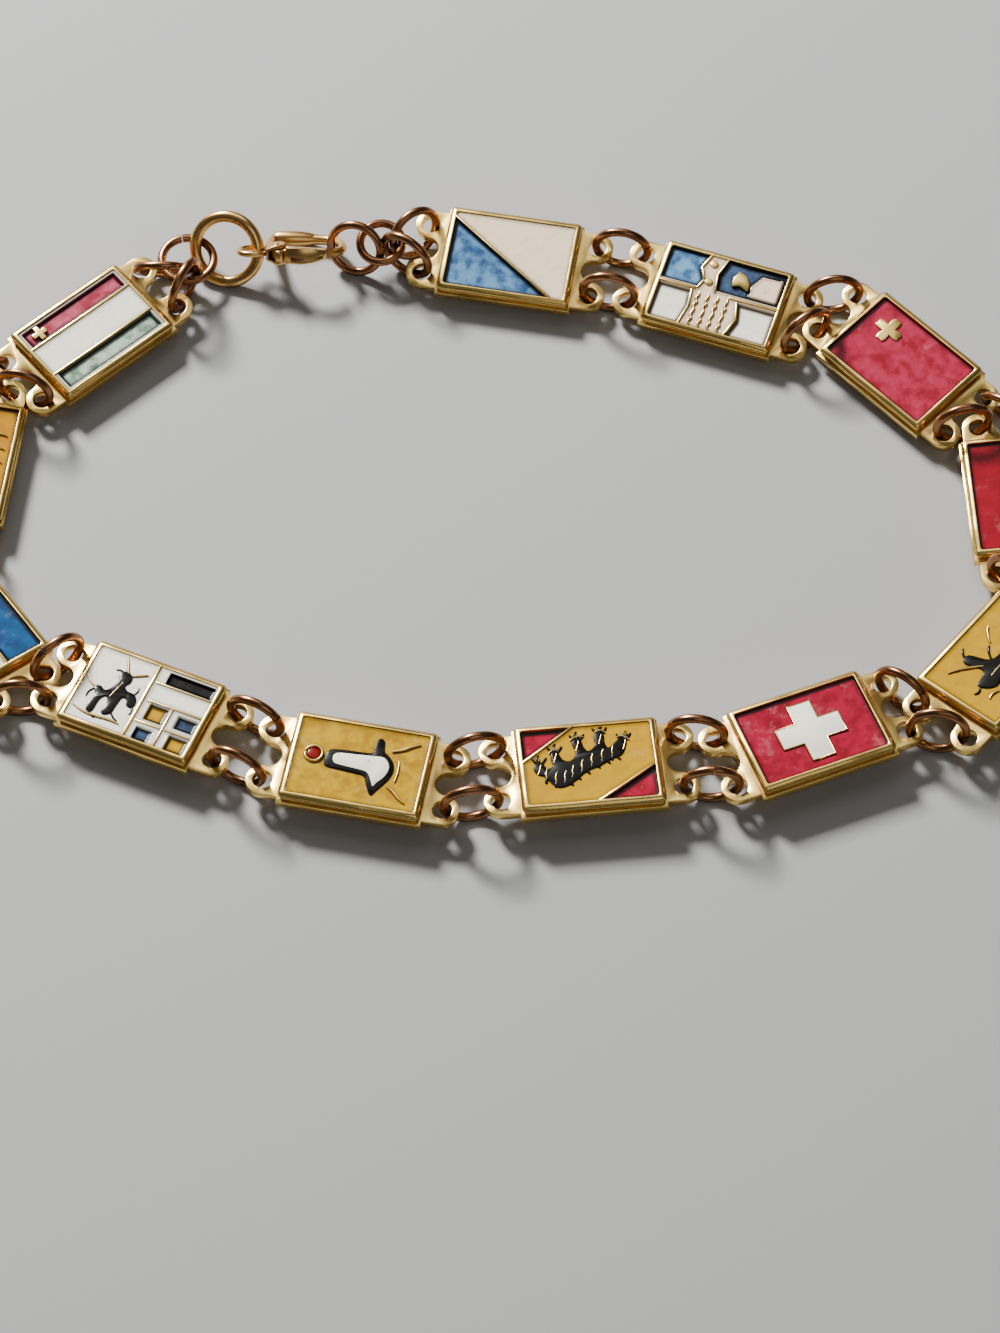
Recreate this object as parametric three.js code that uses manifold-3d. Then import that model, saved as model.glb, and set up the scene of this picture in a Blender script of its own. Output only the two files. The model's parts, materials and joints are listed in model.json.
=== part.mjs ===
// Linked plaque bracelet: twelve enamelled plaques with pierced ears, pairs of jump rings between them,
// and a trigger clasp. Millimetres, +Z up. It lies closed on the plane z = 0.
import * as THREE from "three";
import { mergeVertices } from "three/addons/utils/BufferGeometryUtils.js";
import Module from "manifold-3d";

const wasm = await Module();
wasm.setup();

// Plaque
const PLAQUE_LENGTH = 9.5;
const PLAQUE_WIDTH = 6.8;
const PLAQUE_HEIGHT = 1.25;
const PLAQUE_CORNER = 0.35;
const FOOT_OVERHANG = 0.1;
const GROOVE_DEPTH = 0.1;
const GROOVE_HEIGHT = 0.12;
const RIM_WIDTH = 0.42;
const TRAY_DEPTH = 0.4;
const TRAY_CORNER = 0.2;
const CELL_WALL = 0.26;
const CELL_WALL_HEIGHT = 0.28;

// Ears at the plaque's ends
const EAR_THICKNESS = 0.56;
const EAR_RADIUS = 1.1;
const EAR_HOLE_RADIUS = 0.77;
const EAR_REACH = 1.28;
const EAR_SPACING = 4.0;

// Enamel
const ENAMEL_RECESS = 0.13;
const ENAMEL_CLEARANCE = 0.03;
const FIGURE_RISE = 0.1;

// Jump rings
const RING_RADIUS = 1.85;
const RING_WIRE = 0.23;
const RING_PLAY = 0.27;
const JOIN_RING_RADIUS = 1.5;
const LARGE_RING_RADIUS = 2.35;
const LARGE_RING_WIRE = 0.325;
const RING_SIDES = 14;
const WIRE_SIDES = 6;

// How the plaques lie: the height of the ears' middle, and the pitch from plaque to plaque
const EAR_MID_HEIGHT = 1.3;
const LINK_GAP = 3.14;
const PITCH = PLAQUE_LENGTH + 2 * EAR_REACH + LINK_GAP;

// Clasp
const CLASP_TILT = 36;
const CLASP_SPAN = 3.6;
const CLASP_HALF_LENGTH = 2.7;
const ARM_WIRE = 0.35;
const BARREL_RADIUS = 0.55;
const BARREL_LENGTH = 3.4;
const BARREL_SETBACK = 0.85;
const HINGE_SETBACK = 1.95;
const HINGE_INSET = 0.35;
const CHEEK_RADIUS = 0.62;
const CHEEK_THICKNESS = 0.28;
const KNUCKLE_STEP = 0.2;
const CLASP_WIDTH = 1.6;
const TAIL_THICKNESS = 0.22;
const TAIL_WAIST = 0.4;
const TAIL_LENGTH = 1.1;
const EYE_LENGTH = 1.0;
const EYE_WIDTH = 0.82;
const EYE_WIRE = 0.22;
const EYE_SINK = 0.09;
const EYE_DROP = 0.45;
const LEVER_LENGTH = 3.6;
const LEVER_WIDTH = 1.2;
const LEVER_THICKNESS = 0.5;
const LEVER_BOW = 0.55;
const LEVER_TIP_RISE = 0.1;
const GROOVE_FLOOR = 0.16;
const GROOVE_OFFSET = 0.1;
const GROOVE_WIDTH = 0.22;
const NUB_RADIUS = 0.3;
const NUB_RISE = 0.58;
const NUB_OFFSET = 0.2;
const PIN_RADIUS = 0.2;
const PIN_CLEARANCE = 0.07;
const LEVER_CLEARANCE = 0.1;

// Sizes that follow from the ones above
const TRAY_HALF_LENGTH = PLAQUE_LENGTH / 2 - RIM_WIDTH;
const TRAY_HALF_WIDTH = PLAQUE_WIDTH / 2 - RIM_WIDTH;
const TRAY_FLOOR = PLAQUE_HEIGHT - TRAY_DEPTH;
const ENAMEL_TOP = PLAQUE_HEIGHT - ENAMEL_RECESS;
const EAR_X = PLAQUE_LENGTH / 2 + EAR_REACH;
const EAR_Y = EAR_SPACING / 2;
const OVERLAP = 0.05;

// The route of the plaques, clockwise from the one beside the clasp: centre as shares of the pitch,
// heading of the plaque's length, and how far its outer edge is tipped up, both in degrees
const ROUTE = [
  { name: "a", x: 0.046, y: 1.517, heading: -10, tip: 6 },
  { name: "b", x: 1.016, y: 1.286, heading: -19, tip: 5.5 },
  { name: "c", x: 1.85, y: 0.925, heading: -46.1, tip: 5 },
  { name: "d", x: 2.339, y: 0.188, heading: -87.2, tip: 6 },
  { name: "e", x: 2.198, y: -0.681, heading: -131, tip: 6 },
  { name: "f", x: 1.355, y: -1.044, heading: -159.3, tip: 5 },
  { name: "g", x: 0.388, y: -1.213, heading: -174.6, tip: 6 },
  { name: "h", x: -0.614, y: -1.215, heading: -190.9, tip: 3 },
  { name: "i", x: -1.566, y: -0.899, heading: -202.5, tip: 4 },
  { name: "j", x: -2.352, y: -0.486, heading: -232.8, tip: 6 },
  { name: "k", x: -2.431, y: 0.392, heading: -276.9, tip: 6 },
  { name: "l", x: -1.891, y: 1.09, heading: -318.6, tip: 4 },
];

// The room that the clasp and its rings fill, from the middle of plaque l's end ears to that of plaque a's,
// and the clasp's middle in it, from plaque l's end ears
const CLASP_ROOM = new THREE.Vector2(18.981, 3.55);
const CLASP_PLACE = new THREE.Vector3(10.266, 3.544, 0.38);

// The rings beside the clasp, placed by hand as the chain lies: middle as an offset from the middle of the
// end ears of plaque l or a, or from the clasp's middle, and the direction that the ring faces
const END_RINGS = [
  {
    name: "end_ring_l_upper", anchor: "l_end", offset: [0.185, 1.294, 0.75],
    facing: [0.007, -0.886, -0.464], radius: RING_RADIUS, wire: RING_WIRE,
  },
  {
    name: "end_ring_l_lower", anchor: "l_end", offset: [1.825, -0.196, 0.84],
    facing: [0.896, -0.439, -0.072], radius: RING_RADIUS, wire: RING_WIRE,
  },
  {
    name: "join_ring_l", anchor: "l_end", offset: [1.945, 2.474, 0.3],
    facing: [0.026, -0.043, 0.999], radius: RING_RADIUS, wire: RING_WIRE,
  },
  {
    name: "large_ring", anchor: "clasp", offset: [-5.52, -0.49, 0.41],
    facing: [-0.24, -0.706, 0.666], radius: LARGE_RING_RADIUS, wire: LARGE_RING_WIRE,
  },
  {
    name: "clasp_ring", anchor: "clasp", offset: [3.65, -0.35, 0.31],
    facing: [-0.28, -0.865, 0.416], radius: RING_RADIUS, wire: RING_WIRE,
  },
  {
    name: "join_ring_a", anchor: "a_end", offset: [-3.235, -0.095, 1],
    facing: [-0.02, -0.207, 0.978], radius: JOIN_RING_RADIUS, wire: RING_WIRE,
  },
  {
    name: "end_ring_a_upper", anchor: "a_end", offset: [-0.865, 0.925, 0.75],
    facing: [0.586, -0.78, 0.218], radius: RING_RADIUS, wire: RING_WIRE,
  },
  {
    name: "end_ring_a_lower", anchor: "a_end", offset: [-1.435, -1.125, 0.93],
    facing: [0.532, 0.847, -0.013], radius: RING_RADIUS, wire: RING_WIRE,
  },
];

// Designs. Places are shares of the tray's half length and half width, measured from its middle, with y
// towards the outer edge. walls part the colours and join the frame; figures stand on the enamel;
// posts are metal and stand on the tray's floor.
const DESIGNS = {
  a: { walls: [[[-1.02, 0.86], [0.78, -1.02]]] },
  b: {
    walls: [
      [[-1.02, 0.04], [-0.34, 0.04]],
      [[-0.22, 1.02], [-0.34, 0.04], [-0.44, -1.02]],
      [[-0.14, 0.04], [1.02, 0.04]],
      [[0.02, 1.02], [-0.14, 0.04], [0.26, -0.3], [0.26, -1.02]],
    ],
  },
  c: { posts: [crossOutline(-0.56, 0.44, 0.2, 0.08)] },
  d: {},
  e: {
    figures: [
      [
        [0.62, 0.1], [0.45, 0.42], [0.1, 0.35], [-0.3, 0.45], [-0.62, 0.7], [-0.5, 0.3], [-0.45, 0],
        [-0.7, -0.35], [-0.5, -0.42], [-0.25, -0.1], [0.1, -0.1], [0.25, -0.58], [0.42, -0.5], [0.35, -0.05],
      ],
    ],
  },
  f: { figures: [crossOutline(0, 0, 0.755, 0.27)] },
  g: {
    walls: [
      [[0.2, -1.02], [1.02, -0.16]],
      [[-1.02, 0.12], [-0.1, 1.02]],
    ],
    figures: [
      [
        [0.78, 0.28], [0.5, 0.42], [0.1, 0.3], [-0.35, 0.05], [-0.62, -0.3], [-0.6, -0.62], [-0.35, -0.66],
        [-0.28, -0.45], [0, -0.62], [0.12, -0.3], [0.3, -0.12], [0.42, -0.42], [0.56, -0.3], [0.52, 0.02],
      ],
    ],
  },
  h: {
    figures: [
      [
        [0.48, -0.22], [0.48, 0.18], [0.1, 0.3], [-0.12, 0.42], [-0.3, 0.74], [-0.42, 0.5], [-0.5, 0.2],
        [-0.5, -0.25], [-0.4, -0.5], [-0.28, -0.74], [-0.12, -0.42], [0.1, -0.34],
      ],
      discOutline(0.71, -0.08, 0.13),
    ],
  },
  i: {
    walls: [
      [[0, -1.02], [0, 1.02]],
      [[0, -0.6], [-1.02, -0.6]],
      [[0, -0.04], [-1.02, -0.04]],
      [[0, 0.5], [-1.02, 0.5]],
      [[-0.56, -0.04], [-0.56, 1.02]],
    ],
    figures: [
      [
        [0.7, 0.62], [0.5, 0.66], [0.3, 0.45], [0.22, 0], [0.3, -0.5], [0.42, -0.6], [0.5, -0.3],
        [0.62, -0.1], [0.85, 0.1], [0.8, 0.3], [0.62, 0.25],
      ],
    ],
  },
  j: { walls: [[[-1.02, -0.07], [1.02, -0.07]]] },
  k: { figures: [-0.6, -0.2, 0.2, 0.6].map((x) => discOutline(x, -0.62, 0.09)) },
  l: {
    walls: [
      [[-1.02, 0.43], [1.02, 0.43]],
      [[-1.02, -0.42], [1.02, -0.42]],
    ],
    posts: [crossOutline(-0.68, 0.72, 0.13, 0.05)],
  },
};

// Finishes
const gilt = new THREE.MeshStandardMaterial({ color: "#cfae6c", roughness: 0.35, metalness: 1 });
const bronze = new THREE.MeshStandardMaterial({ color: "#9a7040", roughness: 0.4, metalness: 1 });
const ENAMEL_COLOURS = {
  a: "#dccfa9", b: "#b9c4c6", c: "#a52437", d: "#9c1626", e: "#e4b325", f: "#a81f31",
  g: "#e2b02c", h: "#d9a93a", i: "#e6e0cc", j: "#275a80", k: "#d98f22", l: "#d8d4bc",
};

// A closed three.js geometry as a solid that can be joined and cut
function solid(geometry) {
  const bare = geometry.clone();
  bare.deleteAttribute("normal");
  bare.deleteAttribute("uv");
  const merged = mergeVertices(bare, 1e-4);
  return new wasm.Manifold(
    new wasm.Mesh({
      numProp: 3,
      vertProperties: merged.attributes.position.array,
      triVerts: new Uint32Array(merged.index.array),
    }),
  );
}

// A solid as a named mesh
function meshOf(name, made, material) {
  const data = made.getMesh();
  const geometry = new THREE.BufferGeometry();
  geometry.setAttribute("position", new THREE.BufferAttribute(data.vertProperties, 3));
  geometry.setIndex(new THREE.BufferAttribute(data.triVerts, 1));
  geometry.computeVertexNormals();
  const mesh = new THREE.Mesh(geometry, material);
  mesh.name = name;
  return mesh;
}

// Points of an arc, angles in degrees
function arc(x, y, radius, from, to, steps) {
  return Array.from({ length: steps + 1 }, (_, i) => {
    const angle = THREE.MathUtils.degToRad(from + ((to - from) * i) / steps);
    return new THREE.Vector2(x + radius * Math.cos(angle), y + radius * Math.sin(angle));
  });
}

// A rectangle about the origin with rounded corners
function roundedRectangle(halfLength, halfWidth, radius) {
  const x = halfLength - radius;
  const y = halfWidth - radius;
  return [
    ...arc(x, -y, radius, -90, 0, 2),
    ...arc(x, y, radius, 0, 90, 2),
    ...arc(-x, y, radius, 90, 180, 2),
    ...arc(-x, -y, radius, 180, 270, 2),
  ];
}

// An outline, with any holes, raised from one height to another
function slab(outline, low, high, holes = []) {
  const shape = new THREE.Shape(outline);
  shape.holes = holes.map((points) => new THREE.Path(points));
  const geometry = new THREE.ExtrudeGeometry(shape, { depth: high - low, bevelEnabled: false });
  return solid(geometry.translate(0, 0, low));
}

// A straight bar lying in the tray between two points given as shares of the tray
function trayBar(start, end, width, low, high) {
  const a = new THREE.Vector2(start[0] * TRAY_HALF_LENGTH, start[1] * TRAY_HALF_WIDTH);
  const b = new THREE.Vector2(end[0] * TRAY_HALF_LENGTH, end[1] * TRAY_HALF_WIDTH);
  const run = b.clone().sub(a);
  const box = new THREE.BoxGeometry(run.length() + width, width, high - low);
  box.rotateZ(run.angle());
  return solid(box.translate((a.x + b.x) / 2, (a.y + b.y) / 2, (low + high) / 2));
}

// Outlines of figures, in shares of the tray
function crossOutline(x, y, arm, half) {
  const across = TRAY_HALF_WIDTH / TRAY_HALF_LENGTH;
  const corners = [[arm, half], [half, half], [half, arm]];
  return [0, 1, 2, 3].flatMap((turn) =>
    corners.map(([u, v]) => {
      const turned = new THREE.Vector2(u, v).rotateAround(new THREE.Vector2(), (turn * Math.PI) / 2);
      return [x + turned.x * across, y + turned.y];
    }),
  );
}

function discOutline(x, y, radius) {
  const across = TRAY_HALF_WIDTH / TRAY_HALF_LENGTH;
  return arc(0, 0, radius, 0, 315, 7).map((p) => [x + p.x * across, y + p.y]);
}

const trayPoints = (outline) =>
  outline.map(([x, y]) => new THREE.Vector2(x * TRAY_HALF_LENGTH, y * TRAY_HALF_WIDTH));

// An outline in the tray made larger all round by a clearance, measured from its own middle
function grown(points, clearance) {
  const middle = points.reduce((sum, p) => sum.add(p), new THREE.Vector2()).divideScalar(points.length);
  return points.map((p) => {
    const out = p.clone().sub(middle);
    return middle.clone().add(out.setLength(out.length() + 2 * clearance));
  });
}

const segments = (walls = []) => walls.flatMap((line) => line.slice(1).map((end, i) => [line[i], end]));

// The metal of one plaque: ears and foot, groove, frame round the tray, walls and posts
function plaqueSolid(design) {
  const endOutline = [
    ...arc(EAR_X, -EAR_Y, EAR_RADIUS, -90, 90, 6),
    ...arc(EAR_X, 0, EAR_Y - EAR_RADIUS, -90, -270, 4).slice(1, -1),
    ...arc(EAR_X, EAR_Y, EAR_RADIUS, -90, 90, 6),
  ];
  const footX = PLAQUE_LENGTH / 2 + FOOT_OVERHANG;
  const footY = PLAQUE_WIDTH / 2 + FOOT_OVERHANG;
  const half = [
    new THREE.Vector2(footX, -footY),
    new THREE.Vector2(footX, -EAR_Y - EAR_RADIUS),
    ...endOutline,
    new THREE.Vector2(footX, EAR_Y + EAR_RADIUS),
    new THREE.Vector2(footX, footY),
  ];
  const turned = half.map((p) => p.clone().negate());
  const holes = [-1, 1].flatMap((end) =>
    [-1, 1].map((side) => arc(end * EAR_X, side * EAR_Y, EAR_HOLE_RADIUS, 0, 324, 9)),
  );
  const neck = roundedRectangle(
    PLAQUE_LENGTH / 2 - GROOVE_DEPTH,
    PLAQUE_WIDTH / 2 - GROOVE_DEPTH,
    PLAQUE_CORNER - GROOVE_DEPTH,
  );
  const grooveTop = EAR_THICKNESS + GROOVE_HEIGHT;
  const frame = roundedRectangle(PLAQUE_LENGTH / 2, PLAQUE_WIDTH / 2, PLAQUE_CORNER);
  const tray = roundedRectangle(TRAY_HALF_LENGTH, TRAY_HALF_WIDTH, TRAY_CORNER);
  let made = slab([...half, ...turned], 0, EAR_THICKNESS, holes)
    .add(slab(neck, EAR_THICKNESS - OVERLAP, grooveTop + OVERLAP))
    .add(slab(frame, grooveTop, PLAQUE_HEIGHT))
    .subtract(slab(tray, TRAY_FLOOR, PLAQUE_HEIGHT + OVERLAP));
  for (const [start, end] of segments(design.walls)) {
    made = made.add(trayBar(start, end, CELL_WALL, PLAQUE_HEIGHT - CELL_WALL_HEIGHT, PLAQUE_HEIGHT));
  }
  for (const outline of design.posts ?? []) {
    made = made.add(slab(trayPoints(outline), TRAY_FLOOR - OVERLAP, PLAQUE_HEIGHT));
  }
  return made;
}

// The enamel of one plaque: one sheet in the tray, clear of the metal, with its figures
function enamelSolid(design) {
  const sheet = roundedRectangle(
    TRAY_HALF_LENGTH - ENAMEL_CLEARANCE,
    TRAY_HALF_WIDTH - ENAMEL_CLEARANCE,
    TRAY_CORNER,
  );
  let made = slab(sheet, TRAY_FLOOR + ENAMEL_CLEARANCE, ENAMEL_TOP);
  for (const outline of design.figures ?? []) {
    made = made.add(slab(trayPoints(outline), ENAMEL_TOP - OVERLAP, ENAMEL_TOP + FIGURE_RISE));
  }
  for (const [start, end] of segments(design.walls)) {
    const under = PLAQUE_HEIGHT - CELL_WALL_HEIGHT - ENAMEL_CLEARANCE;
    const width = CELL_WALL + 2 * ENAMEL_CLEARANCE;
    made = made.subtract(trayBar(start, end, width, under, PLAQUE_HEIGHT + OVERLAP));
  }
  for (const outline of design.posts ?? []) {
    made = made.subtract(slab(grown(trayPoints(outline), ENAMEL_CLEARANCE), 0, PLAQUE_HEIGHT));
  }
  return made;
}

// A ring at a place, facing along a direction
function ringMesh(name, centre, facing, radius, wire) {
  const ring = solid(new THREE.TorusGeometry(radius, wire, WIRE_SIDES, RING_SIDES));
  const mesh = meshOf(name, ring, bronze);
  mesh.quaternion.setFromUnitVectors(new THREE.Vector3(0, 0, 1), facing.clone().normalize());
  mesh.position.copy(centre);
  return mesh;
}

// A jump ring through two facing ear holes, wound larger where the holes stand further apart than its
// radius and its play allow. It stands on the ground where its play in the holes lets it, and leans where
// it would otherwise reach below the ground.
function jumpRing(name, holeA, holeB) {
  const span = holeB.clone().sub(holeA);
  const middle = holeA.clone().add(holeB).multiplyScalar(0.5);
  const radius = Math.max(RING_RADIUS, span.length() / 2 - RING_PLAY);
  const drop = radius + RING_WIRE - middle.z;
  const standing = 2 * Math.sqrt(Math.max(0, radius ** 2 - drop ** 2));
  const most = Math.min(span.length() + 2 * RING_PLAY, 2 * radius);
  const chord = THREE.MathUtils.clamp(standing, span.length() - 2 * RING_PLAY, most);
  const rise = Math.sqrt(Math.max(0, radius ** 2 - (chord / 2) ** 2));
  const lean = Math.acos(Math.min(1, (middle.z - RING_WIRE) / (radius - rise)));
  const along = span.clone().normalize();
  const across = new THREE.Vector3().crossVectors(along, new THREE.Vector3(0, 0, 1)).normalize();
  const up = new THREE.Vector3().crossVectors(across, along).applyAxisAngle(along, lean);
  const facing = new THREE.Vector3().crossVectors(along, up);
  return ringMesh(name, middle.add(up.multiplyScalar(rise)), facing, radius, RING_WIRE);
}

// The clasp lies in its own frame: x towards the nose, y towards the lever, z through its thickness
const HINGE = new THREE.Vector2(-HINGE_SETBACK, CLASP_SPAN / 2 - HINGE_INSET);
const KNUCKLE_RADIUS = CHEEK_RADIUS - KNUCKLE_STEP;
const KNUCKLE_HALF = CLASP_WIDTH / 2 - CHEEK_THICKNESS - LEVER_CLEARANCE;

// The fixed arm's middle line from the tail round the nose, as shares of the clasp's reach and half span
const ARM_ROUTE = [
  [-0.907, 0.389], [-0.944, -0.5], [-0.685, -0.944], [0, -1], [0.556, -0.917],
  [0.889, -0.472], [1, 0.056], [0.956, 0.472], [0.796, 0.833],
];

// The barrel's side: radius as a share of its own, and place as a share of its half length
const BARREL_SIDE = [[0, -1], [0.7, -1], [1, -0.8], [1, 0.6], [0.57, 1], [0, 1]];

// A round bar along a curve through points of the clasp's plane
function roundBar(points, radius, steps) {
  const path = new THREE.CatmullRomCurve3(points.map(([x, y]) => new THREE.Vector3(x, y, 0)));
  const section = new THREE.Shape(arc(0, 0, radius, 0, 315, 7));
  return solid(new THREE.ExtrudeGeometry(section, { steps, extrudePath: path, bevelEnabled: false }));
}

// A round disc or pin along z
function pin(x, y, radius, low, high, sides) {
  const geometry = new THREE.CylinderGeometry(radius, radius, high - low, sides).rotateX(Math.PI / 2);
  return solid(geometry.translate(x, y, (low + high) / 2));
}

// Fixed arm with its barrel, nose, cheeks and tail eye, one casting
function claspBodySolid() {
  const halfSpan = CLASP_SPAN / 2;
  const arm = roundBar(ARM_ROUTE.map(([x, y]) => [x * CLASP_HALF_LENGTH, y * halfSpan]), ARM_WIRE, 16);
  const side = BARREL_SIDE.map(([r, y]) => new THREE.Vector2(r * BARREL_RADIUS, (y * BARREL_LENGTH) / 2));
  const barrel = new THREE.LatheGeometry(side, 12).rotateZ(-Math.PI / 2);
  barrel.translate(-BARREL_SETBACK, -halfSpan, 0);
  const outer = CLASP_WIDTH / 2;
  const inner = outer - CHEEK_THICKNESS;
  const cheekPin = PIN_RADIUS + PIN_CLEARANCE;
  const tailX = HINGE.x - KNUCKLE_RADIUS - LEVER_CLEARANCE;
  const cheekOutline = [
    ...arc(HINGE.x, HINGE.y, CHEEK_RADIUS, -60, 90, 5),
    new THREE.Vector2(tailX - TAIL_THICKNESS * 0.9, HINGE.y + CHEEK_RADIUS * 0.8),
    new THREE.Vector2(tailX - TAIL_THICKNESS, HINGE.y - TAIL_WAIST),
    new THREE.Vector2(tailX - TAIL_THICKNESS / 2, HINGE.y - TAIL_LENGTH),
  ];
  const slotLength = 2 * CHEEK_RADIUS + KNUCKLE_RADIUS;
  const slot = new THREE.BoxGeometry(slotLength, 2 * TAIL_LENGTH + CHEEK_RADIUS, 2 * inner);
  slot.translate(tailX + slotLength / 2, HINGE.y, 0);
  const eye = new THREE.TorusGeometry(1, EYE_WIRE, WIRE_SIDES, 12);
  const position = eye.attributes.position;
  for (let i = 0; i < position.count; i++) {
    const angle = Math.atan2(position.getY(i), position.getX(i));
    position.setX(i, position.getX(i) + (EYE_LENGTH - 1) * Math.cos(angle));
    position.setY(i, position.getY(i) + (EYE_WIDTH - 1) * Math.sin(angle));
  }
  eye.translate(tailX - TAIL_THICKNESS + EYE_SINK - EYE_LENGTH, HINGE.y - EYE_DROP, 0);
  const tail = slab(cheekOutline, -outer, outer)
    .add(solid(eye))
    .subtract(solid(slot))
    .subtract(pin(HINGE.x, HINGE.y, cheekPin, -outer - OVERLAP, outer + OVERLAP, 8));
  return solid(barrel).add(arm).add(tail);
}

// Stamped lever: knuckle between the cheeks, bowed band with a lengthwise groove, thumb nub and pin
function claspLeverSolid() {
  const tip = new THREE.Vector2(HINGE.x + LEVER_LENGTH, HINGE.y + LEVER_TIP_RISE);
  const steps = 8;
  const bow = (t) => new THREE.Vector2().lerpVectors(HINGE, tip, t).add(
    new THREE.Vector2(0, 4 * LEVER_BOW * t * (1 - t)),
  );
  const band = (from, to, inside, outside) => {
    const parameters = Array.from({ length: steps + 1 }, (_, i) => from + ((to - from) * i) / steps);
    const lower = parameters.map((t) => bow(t).sub(new THREE.Vector2(0, inside)));
    const upper = parameters.map((t) => bow(t).add(new THREE.Vector2(0, outside)));
    return [...lower, ...upper.reverse()];
  };
  const half = LEVER_THICKNESS / 2;
  const start = (CHEEK_RADIUS + LEVER_CLEARANCE) / LEVER_LENGTH;
  const wide = slab(band(start, 1, half, half), -LEVER_WIDTH / 2, LEVER_WIDTH / 2);
  const root = slab(band(0, start + 0.1, half, half), -KNUCKLE_HALF, KNUCKLE_HALF);
  const cut = band(start + 0.08, 0.92, GROOVE_FLOOR - half, LEVER_THICKNESS);
  const groove = slab(cut, GROOVE_OFFSET, GROOVE_OFFSET + GROOVE_WIDTH);
  const pinHalf = CLASP_WIDTH / 2;
  return wide
    .subtract(groove)
    .add(root)
    .add(pin(HINGE.x, HINGE.y, KNUCKLE_RADIUS, -KNUCKLE_HALF, KNUCKLE_HALF, 10))
    .add(pin(HINGE.x, HINGE.y, PIN_RADIUS, -pinHalf, pinHalf, 8))
    .add(pin(HINGE.x + NUB_OFFSET, HINGE.y + NUB_RISE, NUB_RADIUS, -KNUCKLE_HALF, KNUCKLE_HALF, 8));
}

// The bracelet
const bracelet = new THREE.Group();

// The middle of a plaque's ears at one end of it, on the plan
function endEars({ x, y, heading }, end) {
  const turn = THREE.MathUtils.degToRad(heading);
  const reach = new THREE.Vector2(end * EAR_X, 0).rotateAround(new THREE.Vector2(), turn);
  return new THREE.Vector2(x * PITCH, y * PITCH).add(reach);
}

// What the chain's two ends must close up so that the clasp's room stays between them. The plaques share it.
const excess = endEars(ROUTE[0], -1).sub(endEars(ROUTE[ROUTE.length - 1], 1)).sub(CLASP_ROOM);

const plaques = ROUTE.map(({ name, x, y, heading, tip }, i) => {
  const place = new THREE.Group();
  const share = i / (ROUTE.length - 1) - 0.5;
  place.position.set(x * PITCH + share * excess.x, y * PITCH + share * excess.y, EAR_MID_HEIGHT);
  place.rotation.set(THREE.MathUtils.degToRad(tip), 0, THREE.MathUtils.degToRad(heading), "ZYX");
  const metal = meshOf("plaque_" + name, plaqueSolid(DESIGNS[name]), gilt);
  const glass = new THREE.MeshStandardMaterial({ color: ENAMEL_COLOURS[name], roughness: 0.3 });
  const enamel = meshOf("enamel_" + name, enamelSolid(DESIGNS[name]), glass);
  metal.position.z = -EAR_THICKNESS / 2;
  enamel.position.z = -EAR_THICKNESS / 2;
  place.add(metal, enamel);
  bracelet.add(place);
  place.updateMatrixWorld(true);
  const hole = (end, side) => place.localToWorld(new THREE.Vector3(end * EAR_X, side * EAR_Y, 0));
  return { name, hole };
});

plaques.slice(1).forEach((next, i) => {
  const last = plaques[i];
  const pair = "ring_" + last.name + next.name;
  bracelet.add(jumpRing(pair + "_outer", last.hole(1, 1), next.hole(-1, 1)));
  bracelet.add(jumpRing(pair + "_inner", last.hole(1, -1), next.hole(-1, -1)));
});

const between = (a, b) => a.clone().add(b).multiplyScalar(0.5);
const first = plaques[0];
const last = plaques[plaques.length - 1];
const lEnd = between(last.hole(1, 1), last.hole(1, -1));
const ANCHORS = {
  l_end: lEnd,
  a_end: between(first.hole(-1, 1), first.hole(-1, -1)),
  clasp: lEnd.clone().add(CLASP_PLACE),
};
for (const ring of END_RINGS) {
  const centre = ANCHORS[ring.anchor].clone().add(new THREE.Vector3(...ring.offset));
  bracelet.add(ringMesh(ring.name, centre, new THREE.Vector3(...ring.facing), ring.radius, ring.wire));
}

const clasp = new THREE.Group();
clasp.position.copy(ANCHORS.clasp);
clasp.rotation.x = Math.PI - THREE.MathUtils.degToRad(CLASP_TILT);
clasp.add(meshOf("clasp_body", claspBodySolid(), bronze));
clasp.add(meshOf("clasp_lever", claspLeverSolid(), bronze));
bracelet.add(clasp);

// Origin under the middle of the bracelet, on the ground
bracelet.updateMatrixWorld(true);
const box = new THREE.Box3().setFromObject(bracelet, true);
const middle = box.getCenter(new THREE.Vector3());
bracelet.position.set(-middle.x, -middle.y, -box.min.z);

export default bracelet;
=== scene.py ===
import json
import math

import bpy
import numpy as np
from mathutils import Matrix, Vector


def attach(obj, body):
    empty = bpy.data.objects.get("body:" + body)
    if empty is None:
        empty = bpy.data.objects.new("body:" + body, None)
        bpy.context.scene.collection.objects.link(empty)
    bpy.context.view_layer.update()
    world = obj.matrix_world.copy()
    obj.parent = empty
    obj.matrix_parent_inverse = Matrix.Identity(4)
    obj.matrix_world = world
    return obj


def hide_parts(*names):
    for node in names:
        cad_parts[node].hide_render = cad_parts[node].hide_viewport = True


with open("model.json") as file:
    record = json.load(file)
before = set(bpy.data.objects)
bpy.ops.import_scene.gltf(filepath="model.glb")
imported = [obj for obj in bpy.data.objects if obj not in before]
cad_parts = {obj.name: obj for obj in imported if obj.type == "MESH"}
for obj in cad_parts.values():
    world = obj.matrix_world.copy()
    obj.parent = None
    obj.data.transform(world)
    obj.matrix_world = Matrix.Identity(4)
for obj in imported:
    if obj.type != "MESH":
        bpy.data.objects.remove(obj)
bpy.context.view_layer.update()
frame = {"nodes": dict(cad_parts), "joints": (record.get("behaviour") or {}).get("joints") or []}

MM = 0.001
LETTERS = "abcdefghijkl"

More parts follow.
